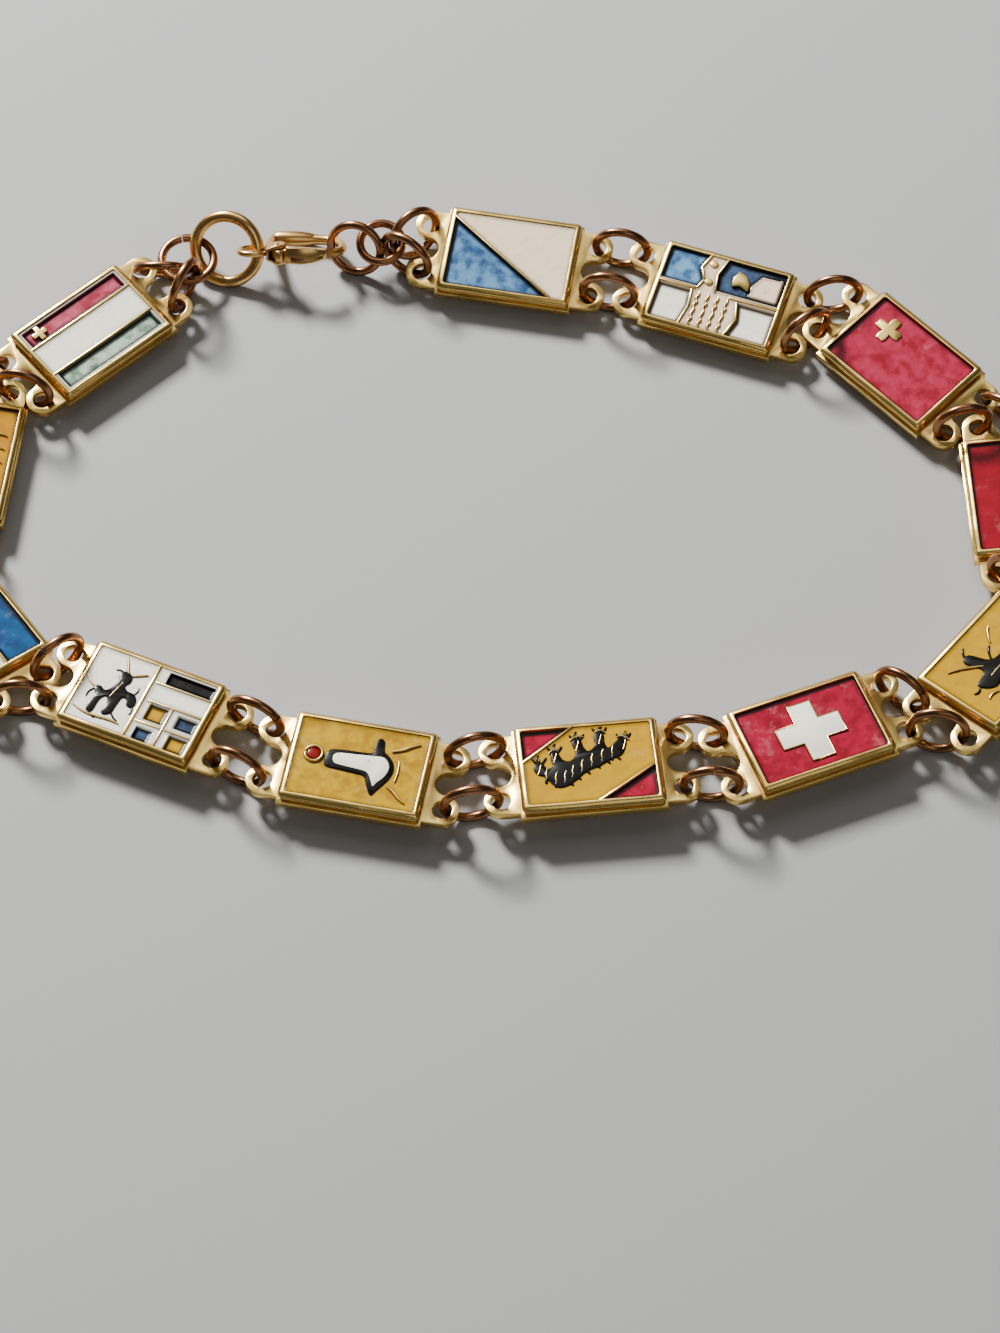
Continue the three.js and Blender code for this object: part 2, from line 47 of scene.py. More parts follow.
# The plaque's casting: one small plate of gilt brass with four pierced ears, a raised frame round a sunken
# tray, and a groove under the frame where the plating has gone brown. It is cast in one piece and tumbled,
# so every edge is a little round. The twelve plaques come from one mould apart from the lines in the tray.
PLAQUE_LENGTH = 9.5
PLAQUE_WIDTH = 6.8
PLAQUE_HEIGHT = 1.25
FOOT_OVERHANG = 0.1
FRAME_CORNER = 0.35
FRAME_RIM = 0.42
TRAY_DEPTH = 0.4
TRAY_CORNER = 0.2
EAR_THICKNESS = 0.56
EAR_RADIUS = 1.12
EAR_HOLE = 0.66
EAR_REACH = 1.28
EAR_SPACING = 4.0
GROOVE_DEPTH = 0.12
GROOVE_HEIGHT = 0.14
EDGE_ROUND = 0.07
TRAY_HALF_LENGTH = PLAQUE_LENGTH / 2 - FRAME_RIM
TRAY_HALF_WIDTH = PLAQUE_WIDTH / 2 - FRAME_RIM
EAR_X = PLAQUE_LENGTH / 2 + EAR_REACH
EAR_Y = EAR_SPACING / 2


def alone(piece):
    """Select one object and nothing else."""
    bpy.ops.object.select_all(action="DESELECT")
    piece.select_set(True)
    bpy.context.view_layer.objects.active = piece
    return piece


def finished(piece):
    """Apply every modifier of a piece."""
    alone(piece)
    for modifier in list(piece.modifiers):
        bpy.ops.object.modifier_apply(modifier=modifier.name)
    return piece


def bar(middle, size, corner=0.0, segments=3):
    """A block, with its upright edges rounded in edit mode."""
    bpy.ops.object.select_all(action="DESELECT")
    bpy.ops.mesh.primitive_cube_add(size=1, location=middle, scale=size)
    piece = bpy.context.active_object
    bpy.ops.object.transform_apply(location=True, rotation=True, scale=True)
    if corner:
        bpy.ops.object.mode_set(mode="EDIT")
        bpy.ops.mesh.select_mode(type="EDGE")
        bpy.ops.object.mode_set(mode="OBJECT")
        for edge in piece.data.edges:
            a, b = (piece.data.vertices[i].co for i in edge.vertices)
            edge.select = abs(a.z - b.z) > 0.9 * size[2]
        bpy.ops.object.mode_set(mode="EDIT")
        bpy.ops.mesh.bevel(offset=corner, segments=segments)
        bpy.ops.object.mode_set(mode="OBJECT")
    return piece


def disc(x, y, radius, low, high, sides=32):
    """A short upright cylinder."""
    bpy.ops.object.select_all(action="DESELECT")
    bpy.ops.mesh.primitive_cylinder_add(
        vertices=sides, radius=radius, depth=high - low, location=(x, y, (low + high) / 2)
    )
    bpy.ops.object.transform_apply(location=True, rotation=True, scale=True)
    return bpy.context.active_object


def worked(piece, tool, operation):
    """Join a tool to a piece, or cut it away, and drop the tool."""
    modifier = piece.modifiers.new("worked", "BOOLEAN")
    modifier.operation = operation
    modifier.solver = "EXACT"
    modifier.object = tool
    finished(piece)
    bpy.data.objects.remove(tool)
    return piece


def rounded_edges(piece, width, segments=2, angle=35):
    """Round a piece's edges and shade it smooth up to an angle."""
    modifier = piece.modifiers.new("round", "BEVEL")
    modifier.width = width
    modifier.segments = segments
    modifier.limit_method = "ANGLE"
    modifier.angle_limit = math.radians(angle)
    finished(piece)
    bpy.ops.object.shade_smooth_by_angle(angle=math.radians(angle))
    return piece


def joined(name, parts):
    """Join parts into one mesh and name it."""
    bpy.ops.object.select_all(action="DESELECT")
    for part in parts:
        part.select_set(True)
    bpy.context.view_layer.objects.active = parts[0]
    if len(parts) > 1:
        bpy.ops.object.join()
    parts[0].name = name
    return parts[0]


def placed(piece, lie):
    """Put a piece that was modelled in millimetres where it lies, with its place in its mesh."""
    piece.matrix_world = lie @ Matrix.Scale(MM, 4)
    alone(piece)
    bpy.ops.object.transform_apply(location=True, rotation=True, scale=True)
    return piece


def plaque_lie(name):
    """How a plaque lies: x along it, y towards its outer edge, z up through it, from its underside."""
    mesh = frame["nodes"]["plaque_" + name].data
    under = max((f for f in mesh.polygons if f.normal.z < -0.9), key=lambda f: f.area)
    level = under.center.dot(under.normal)
    corners = {
        tuple(round(c, 7) for c in mesh.vertices[i].co)
        for f in mesh.polygons
        if f.normal.dot(under.normal) > 0.9999 and abs(f.center.dot(under.normal) - level) < 0.01 * MM
        for i in f.vertices
    }
    points = np.array(sorted(corners))
    middle = points.mean(axis=0)
    along = Vector(np.linalg.svd(points - middle)[2][0])
    up = -under.normal.copy()
    across = up.cross(along).normalized()
    if across.x * middle[0] + across.y * middle[1] < 0:
        across.negate()
    along = across.cross(up)
    lie = Matrix((along, across, up)).transposed().to_4x4()
    lie.translation = Vector(middle)
    return lie


def plaque_mould():
    """The bare casting that all plaques share."""
    foot = (PLAQUE_LENGTH + 2 * FOOT_OVERHANG, PLAQUE_WIDTH + 2 * FOOT_OVERHANG, EAR_THICKNESS)
    plate = bar((0, 0, EAR_THICKNESS / 2), foot)
    for end in (-1, 1):
        tab_start = PLAQUE_LENGTH / 2 - 0.5
        tab = bar(
            (end * (tab_start + EAR_X) / 2, 0, EAR_THICKNESS / 2),
            (EAR_X - tab_start, 2 * (EAR_Y + EAR_RADIUS), EAR_THICKNESS),
        )
        worked(plate, tab, "UNION")
        for side in (-1, 1):
            worked(plate, disc(end * EAR_X, side * EAR_Y, EAR_RADIUS, 0, EAR_THICKNESS), "UNION")
    for end in (-1, 1):
        worked(plate, disc(end * EAR_X, 0, EAR_Y - EAR_RADIUS, -1, 1), "DIFFERENCE")
        for side in (-1, 1):
            worked(plate, disc(end * EAR_X, side * EAR_Y, EAR_HOLE, -1, 1), "DIFFERENCE")
    groove_top = EAR_THICKNESS + GROOVE_HEIGHT
    neck_size = (PLAQUE_LENGTH - 2 * GROOVE_DEPTH, PLAQUE_WIDTH - 2 * GROOVE_DEPTH, 0.4)
    worked(plate, bar((0, 0, groove_top - 0.1), neck_size, FRAME_CORNER - GROOVE_DEPTH), "UNION")
    frame_size = (PLAQUE_LENGTH, PLAQUE_WIDTH, PLAQUE_HEIGHT - groove_top)
    border = bar((0, 0, (PLAQUE_HEIGHT + groove_top) / 2), frame_size, FRAME_CORNER, 5)
    worked(plate, border, "UNION")
    tray_size = (2 * TRAY_HALF_LENGTH, 2 * TRAY_HALF_WIDTH, 2 * TRAY_DEPTH)
    worked(plate, bar((0, 0, PLAQUE_HEIGHT), tray_size, TRAY_CORNER), "DIFFERENCE")
    alone(plate)
    bpy.ops.object.mode_set(mode="EDIT")
    bpy.ops.mesh.select_all(action="SELECT")
    bpy.ops.mesh.remove_doubles(threshold=0.004)
    bpy.ops.mesh.dissolve_limited(angle_limit=math.radians(1))
    bpy.ops.object.mode_set(mode="OBJECT")
    return rounded_edges(plate, EDGE_ROUND)


# Gilding: pale yellow plating over brass. It is brightest on the raised edges, which hands have rubbed, and
# goes rose and then brown in the grooves and round the ears, where tarnish and dirt stay.
GILT = (0.95, 0.66, 0.19, 1)
GILT_ROSE = (0.78, 0.40, 0.12, 1)
TARNISH = (0.12, 0.045, 0.018, 1)
PATCHES_PER_METRE = 420
SCRATCHES_PER_METRE = 2600
WAVES_PER_METRE = 330
SCRATCH_DEPTH = 0.02
WAVE_DEPTH = 0.5


def socketed(group, inputs, outputs):
    """Give a node group its named sockets and return its input and output nodes."""
    for name, kind, value in inputs:
        socket = group.interface.new_socket(name=name, in_out="INPUT", socket_type=kind)
        socket.default_value = value
    for name, kind in outputs:
        group.interface.new_socket(name=name, in_out="OUTPUT", socket_type=kind)
    return group.nodes.new("NodeGroupInput"), group.nodes.new("NodeGroupOutput")


def noise(tree, scale, detail, roughness=0.5):
    """A noise on object coordinates, with its scale in bumps per metre."""
    coordinates = tree.nodes.new("ShaderNodeTexCoord")
    texture = tree.nodes.new("ShaderNodeTexNoise")
    texture.inputs["Scale"].default_value = scale
    texture.inputs["Detail"].default_value = detail
    texture.inputs["Roughness"].default_value = roughness
    tree.links.new(coordinates.outputs["Object"], texture.inputs["Vector"])
    return texture


def spread(tree, value, low, high, to_low=0.0, to_high=1.0):
    """Stretch a value from one range to another, smoothly, and keep it inside."""
    node = tree.nodes.new("ShaderNodeMapRange")
    node.interpolation_type = "SMOOTHSTEP"
    node.inputs["From Min"].default_value = low
    node.inputs["From Max"].default_value = high
    node.inputs["To Min"].default_value = to_low
    node.inputs["To Max"].default_value = to_high
    tree.links.new(value, node.inputs["Value"])
    return node.outputs["Result"]


def blended(tree, factor, first, second):
    """Mix two colours by a factor. Each colour is a socket or a constant."""
    node = tree.nodes.new("ShaderNodeMix")
    node.data_type = "RGBA"
    tree.links.new(factor, node.inputs["Factor"])
    for socket, colour in ((node.inputs["A"], first), (node.inputs["B"], second)):
        if isinstance(colour, tuple):
            socket.default_value = colour
        else:
            tree.links.new(colour, socket)
    return node.outputs["Result"]


def sums(tree, operation, first, second):
    """One sum with two values. Each value is a socket or a constant."""
    node = tree.nodes.new("ShaderNodeMath")
    node.operation = operation
    node.use_clamp = operation in ("ADD", "MULTIPLY")
    for socket, value in zip(node.inputs, (first, second)):
        if isinstance(value, (int, float)):
            socket.default_value = value
        else:
            tree.links.new(value, socket)
    return node.outputs["Value"]


def worn_plating_group():
    """Worn plating: patches of tarnish that gather in the recesses, with fine scratches."""
    group = bpy.data.node_groups.new("worn plating", "ShaderNodeTree")
    inside, outside = socketed(
        group,
        [
            ("Bright", "NodeSocketColor", GILT),
            ("Rose", "NodeSocketColor", GILT_ROSE),
            ("Tarnish", "NodeSocketColor", TARNISH),
            ("Recess", "NodeSocketFloat", 0.0),
            ("Age", "NodeSocketFloat", 0.5),
        ],
        [("Color", "NodeSocketColor"), ("Roughness", "NodeSocketFloat"), ("Height", "NodeSocketFloat")],
    )
    patches = noise(group, PATCHES_PER_METRE, 5, 0.6)
    fine = noise(group, SCRATCHES_PER_METRE, 4, 0.65)
    blotches = spread(group, patches.outputs["Fac"], 0.42, 0.72)
    rose = sums(group, "MULTIPLY", blotches, inside.outputs["Age"])
    rose = sums(group, "ADD", rose, sums(group, "MULTIPLY", inside.outputs["Recess"], 0.9))
    colour = blended(group, rose, inside.outputs["Bright"], inside.outputs["Rose"])
    grime = sums(group, "MULTIPLY", inside.outputs["Recess"], inside.outputs["Recess"])
    speckled = sums(group, "ADD", sums(group, "MULTIPLY", fine.outputs["Fac"], 0.5), 0.6)
    grime = sums(group, "MULTIPLY", grime, speckled)
    colour = blended(group, grime, colour, inside.outputs["Tarnish"])
    group.links.new(colour, outside.inputs["Color"])
    rough = sums(group, "ADD", sums(group, "MULTIPLY", grime, 0.3), 0.2)
    rough = sums(group, "ADD", rough, sums(group, "MULTIPLY", patches.outputs["Fac"], 0.16))
    group.links.new(rough, outside.inputs["Roughness"])
    group.links.new(fine.outputs["Fac"], outside.inputs["Height"])
    return group


WORN_PLATING = worn_plating_group()


def plated(name, bright, rose, tarnish, age, reach=0.45):
    """A plated metal. Recesses are found by how closed in the surface is, within a reach in millimetres."""
    material = bpy.data.materials.new(name)
    material.use_nodes = True
    tree = material.node_tree
    shader = tree.nodes["Principled BSDF"]
    plating = tree.nodes.new("ShaderNodeGroup")
    plating.node_tree = WORN_PLATING
    plating.inputs["Bright"].default_value = bright
    plating.inputs["Rose"].default_value = rose
    plating.inputs["Tarnish"].default_value = tarnish
    plating.inputs["Age"].default_value = age
    closed = tree.nodes.new("ShaderNodeAmbientOcclusion")
    closed.samples = 8
    closed.inputs["Distance"].default_value = reach * MM
    recess = spread(tree, closed.outputs["AO"], 0.25, 0.85, 1.0, 0.0)
    tree.links.new(recess, plating.inputs["Recess"])
    bump = tree.nodes.new("ShaderNodeBump")
    bump.inputs["Strength"].default_value = 0.25
    bump.inputs["Distance"].default_value = SCRATCH_DEPTH * MM
    waves = tree.nodes.new("ShaderNodeBump")
    waves.inputs["Strength"].default_value = 0.5
    waves.inputs["Distance"].default_value = WAVE_DEPTH * MM
    tree.links.new(noise(tree, WAVES_PER_METRE, 1, 0.4).outputs["Fac"], waves.inputs["Height"])
    tree.links.new(waves.outputs["Normal"], bump.inputs["Normal"])
    tree.links.new(plating.outputs["Color"], shader.inputs["Base Color"])
    tree.links.new(plating.outputs["Roughness"], shader.inputs["Roughness"])
    tree.links.new(plating.outputs["Height"], bump.inputs["Height"])
    tree.links.new(bump.outputs["Normal"], shader.inputs["Normal"])
    shader.inputs["Metallic"].default_value = 1.0
    return material


PLAQUE_GILT = plated("plaque gilt", GILT, GILT_ROSE, TARNISH, 0.35)

# Enamel: coloured glass paste fired or baked in the tray. It pulls up a little at the metal round it, has
# small dimples, and its colour is deeper where it is thicker. Cream and white stand level with the frame,
# and the clear colours lie deeper. Shade is painted into its colour along the walls and in closed-in places,
# and small pale patches on it are a painted highlight.
LEVEL = -0.1
SUNK = -0.24
DEEP = -0.29
ENAMEL_THICKNESS = 0.1
GRID_PITCH = 0.1
CLIMB = 0.05
CLIMB_REACH = 0.12
# Reach in millimetres of the painted shade along the walls.
EDGE_SHADE_REACH = 0.2
DIMPLE = 0.014
CLOUDS_PER_METRE = 950
PITS_PER_METRE = 1900
GLINTS_PER_METRE = 700
GLAZE_WAVE = 0.02
CREVICE_REACH = 0.5


def fired_enamel_group():
    """Fired enamel: two tones of one colour in soft patches, pale patches of painted highlight, and dust in the
    dimples.
    """
    group = bpy.data.node_groups.new("fired enamel", "ShaderNodeTree")
    inside, outside = socketed(
        group,
        [
            ("Thin", "NodeSocketColor", (1, 1, 1, 1)),
            ("Thick", "NodeSocketColor", (0.5, 0.5, 0.5, 1)),
            ("Dust", "NodeSocketColor", (0.2, 0.14, 0.08, 1)),
            ("Painted Glint", "NodeSocketColor", (1, 1, 1, 1)),
            ("Mottle", "NodeSocketFloat", 0.5),
        ],
        [("Color", "NodeSocketColor"), ("Roughness", "NodeSocketFloat"), ("Height", "NodeSocketFloat")],
    )
    clouds = noise(group, CLOUDS_PER_METRE, 4, 0.6)
    pits = noise(group, PITS_PER_METRE, 3, 0.6)
    tone = spread(group, clouds.outputs["Fac"], 0.35, 0.68)
    tone = sums(group, "MULTIPLY", tone, inside.outputs["Mottle"])
    colour = blended(group, tone, inside.outputs["Thin"], inside.outputs["Thick"])
    # Painted highlight: pale patches where this noise is high stand in for glints of light on the glaze.
    glint_noise = noise(group, GLINTS_PER_METRE, 6, 0.7)
    painted_glint = spread(group, glint_noise.outputs["Fac"], 0.56, 0.7, 0.0, 0.6)
    colour = blended(group, sums(group, "MULTIPLY", painted_glint, inside.outputs["Mottle"]), colour, inside.outputs["Painted Glint"])
    dusty = spread(group, pits.outputs["Fac"], 0.66, 0.78, 0.0, 0.45)
    colour = blended(group, dusty, colour, inside.outputs["Dust"])
    group.links.new(colour, outside.inputs["Color"])
    rough = sums(group, "ADD", sums(group, "MULTIPLY", clouds.outputs["Fac"], 0.25), 0.16)
    group.links.new(rough, outside.inputs["Roughness"])
    group.links.new(clouds.outputs["Fac"], outside.inputs["Height"])
    return group


FIRED_ENAMEL = fired_enamel_group()


def fired(name, thin, thick, mottle=0.7, coat=0.2):
    """An enamel of one colour, given as its thin and thick tones, with painted shade along its walls and in closed-in
    places.
    """
    material = bpy.data.materials.new(name)
    material.use_nodes = True
    tree = material.node_tree
    shader = tree.nodes["Principled BSDF"]
    glaze = tree.nodes.new("ShaderNodeGroup")
    glaze.node_tree = FIRED_ENAMEL
    glaze.inputs["Thin"].default_value = (*thin, 1)
    glaze.inputs["Thick"].default_value = (*thick, 1)
    # The painted highlight's colour: a paler copy of the thin tone.
    glaze.inputs["Painted Glint"].default_value = tuple(0.85 * c + 0.1 for c in thin) + (1,)
    glaze.inputs["Mottle"].default_value = mottle
    bump = tree.nodes.new("ShaderNodeBump")
    bump.inputs["Strength"].default_value = 0.25
    bump.inputs["Distance"].default_value = GLAZE_WAVE * MM
    closed = tree.nodes.new("ShaderNodeAmbientOcclusion")
    closed.samples = 8
    closed.inputs["Distance"].default_value = CREVICE_REACH * MM
    line = tree.nodes.new("ShaderNodeAttribute")
    line.attribute_name = "painted_edge_shade"
    # Painted shade: the colour goes dark where the surface is closed in and along the walls.
    edge = sums(tree, "ADD", spread(tree, closed.outputs["AO"], 0.4, 0.92, 1.0, 0.0), line.outputs["Fac"])
    shade = tuple(0.1 * c for c in thick) + (1,)
    tree.links.new(blended(tree, edge, glaze.outputs["Color"], shade), shader.inputs["Base Color"])
    tree.links.new(glaze.outputs["Roughness"], shader.inputs["Roughness"])
    tree.links.new(glaze.outputs["Height"], bump.inputs["Height"])
    tree.links.new(bump.outputs["Normal"], shader.inputs["Normal"])
    shader.inputs["Specular IOR Level"].default_value = 0.08
    shader.inputs["Coat Weight"].default_value = coat
    shader.inputs["Coat Roughness"].default_value = 0.04
    return material


ENAMELS = {
    "cream": fired("cream enamel", (0.94, 0.74, 0.50), (0.86, 0.62, 0.39), 0.4),
    "white": fired("white enamel", (0.99, 0.94, 0.78), (0.92, 0.85, 0.67), 0.5),
    "steel": fired("steel blue enamel", (0.11, 0.26, 0.44), (0.015, 0.06, 0.16), 1.0),
    "sky": fired("sky blue enamel", (0.15, 0.33, 0.52), (0.022, 0.09, 0.22), 1.0),
    "slate": fired("slate blue enamel", (0.045, 0.09, 0.165), (0.011, 0.022, 0.052), 1.0),
    "rose": fired("rose red enamel", (0.40, 0.018, 0.055), (0.23, 0.002, 0.013), 1.0),
    "red": fired("deep red enamel", (0.27, 0.0, 0.010), (0.16, 0.0, 0.004), 0.6),
    "crimson": fired("crimson enamel", (0.34, 0.0, 0.028), (0.19, 0.0, 0.008), 1.0),
    "yellow": fired("yellow enamel", (0.51, 0.28, 0.0), (0.41, 0.21, 0.0), 0.7),
    "golden": fired("golden enamel", (0.53, 0.31, 0.002), (0.33, 0.165, 0.0), 1.0),
    "orange": fired("orange yellow enamel", (0.49, 0.23, 0.0), (0.37, 0.145, 0.0), 0.7),
    "blue": fired("strong blue enamel", (0.006, 0.075, 0.20), (0.0, 0.022, 0.09), 0.8),
    "green": fired("green enamel", (0.48, 0.56, 0.44), (0.075, 0.165, 0.105), 1.0),
    "pink": fired("pink enamel", (0.50, 0.09, 0.14), (0.28, 0.015, 0.035), 1.0),
    "black": fired("black enamel", (0.005, 0.004, 0.003), (0.003, 0.003, 0.003), 0.0),
    "garnet": fired("garnet enamel", (0.20, 0.003, 0.002), (0.09, 0.001, 0.001), 0.3),
}


def swept(outline, steps=4):
    """A closed outline made smooth through its points."""
    points = [Vector(p) for p in outline]
    count = len(points)
    smooth = []
    for i in range(count):
        a, b, c, d = (points[(i + k) % count] for k in (-1, 0, 1, 2))
        for s in range(steps):
            t = s / steps
            smooth.append(
                0.5 * (2 * b + (c - a) * t + (2 * a - 5 * b + 4 * c - d) * t**2 + (3 * b - a - 3 * c + d) * t**3)
            )
    return [tuple(p) for p in smooth]


def ring_outline(x, y, radius, count=24):
    """Points of a circle in the tray."""
    angles = [2 * math.pi * i / count for i in range(count)]
    return [(x + radius * math.cos(a), y + radius * math.sin(a)) for a in angles]


def lobed_outline(x, y, reach, count=64):
    """Outline of an even-armed cross with a notched lobe at the end of each arm."""
    outline = []
    for i in range(count):
        a = 2 * math.pi * i / count
        lobe = abs(math.cos(2 * a)) ** 1.3
        radius = reach * (0.36 + 0.64 * lobe - 0.16 * max(0.0, lobe - 0.86) / 0.14)
        outline.append((x + radius * math.cos(a), y + radius * math.sin(a)))
    return outline


def cross_outline(x, y, arm, half):
    """Outline of an even-armed cross."""
    corners = [(arm, -half), (arm, half), (half, half)]
    outline = []
    for turn in range(4):
        c, s = math.cos(turn * math.pi / 2), math.sin(turn * math.pi / 2)
        outline += [(x + u * c - v * s, y + u * s + v * c) for u, v in corners]
    return outline


# The designs in the trays, in millimetres from the middle: x along the plaque, y to its outer edge. A cell
# is a field of one colour and its level. A line is a cast gilt line between fields. A figure is a raised
# field, and a stroke is a raised line, both of enamel or gilt.
BEAR = [
    (3.7, 0.1), (3.5, 0.6), (3.0, 0.8), (2.7, 1.3), (2.2, 1.75), (1.5, 1.6), (0.9, 1.15), (0.2, 0.6),
    (-0.6, 0.3), (-1.5, -0.2), (-2.2, -0.5), (-2.5, -1.1), (-2.6, -1.6), (-2.25, -1.85), (-1.8, -1.45),
    (-1.35, -1.1), (-1.15, -1.6), (-1.15, -2.25), (-0.8, -2.5), (-0.5, -2.1), (-0.5, -1.4), (-0.05, -0.95),
    (0.25, -1.3), (0.4, -1.9), (0.8, -2.05), (1.0, -1.6), (0.8, -0.9), (1.2, -0.3), (1.7, -0.4), (2.0, -1.0),
    (2.4, -1.1), (2.5, -0.5), (2.4, 0.0), (2.8, 0.2), (3.1, -0.3), (3.5, -0.3),
]
BEAR_CLAWS = [(-2.45, -1.7), (-0.9, -2.3), (0.65, -1.9), (2.2, -1.05), (3.3, -0.25)]
BEAR_FUR = [(2.9, 0.6), (2.3, 0.95), (1.7, 0.9), (1.15, 0.5), (0.5, 0.1), (-0.2, -0.3), (-0.9, -0.6), (-1.6, -0.85)]
BULL_EDGE = [
    (2.15, -0.62), (2.2, 0.45), (1.5, 0.62), (0.2, 0.72), (-0.55, 0.85), (-0.85, 1.5), (-1.25, 2.2),
    (-1.6, 1.7), (-2.05, 1.0), (-2.35, 0.3), (-2.3, -0.4), (-1.9, -0.95), (-1.5, -1.3), (-1.35, -2.1),
    (-0.95, -2.15), (-0.8, -1.5), (-0.75, -1.0), (0.4, -0.92), (1.5, -0.85),
]
BULL_FACE = [
    (1.6, -0.5), (1.62, 0.2), (0.9, 0.36), (-0.1, 0.45), (-0.75, 0.6), (-1.15, 1.3), (-1.3, 1.55),
    (-1.5, 1.2), (-1.85, 0.75), (-2.05, 0.2), (-2.0, -0.3), (-1.6, -0.75), (-1.0, -0.75), (0.2, -0.66),
]
IBEX = [
    (1.9, -1.7), (1.4, -1.5), (1.3, -1.0), (1.5, -0.6), (1.2, -0.3), (0.6, -0.2), (0.3, 0.3), (0.4, 0.8),
    (0.8, 0.75), (0.95, 0.35), (1.3, 0.3), (1.4, 0.9), (1.5, 1.7), (1.95, 2.0), (2.15, 1.7), (2.0, 1.2),
    (2.3, 0.6), (2.65, 1.0), (2.7, 2.0), (3.1, 2.1), (3.2, 1.5), (3.1, 0.7), (3.4, 0.2), (3.0, 0.0),
    (2.6, 0.2), (2.25, -0.2), (2.1, -0.9), (2.25, -1.4),
]
BEAST = [
    (2.7, 0.3), (1.95, 1.25), (0.43, 1.04), (-1.3, 1.34), (-2.7, 2.1), (-2.2, 0.9), (-1.95, 0.0),
    (-3.0, -1.04), (-2.2, -1.25), (-1.1, -0.3), (0.43, -0.3), (1.1, -1.7), (1.8, -1.5), (1.5, -0.15),
]
EDGE = 4.5
WAVES = [
    [(start + 0.14 * math.sin(2.6 * step), -0.1 - 0.28 * step) for step in range(11)]
    for start in (-1.35, -0.65, 0.05, 0.75)
]
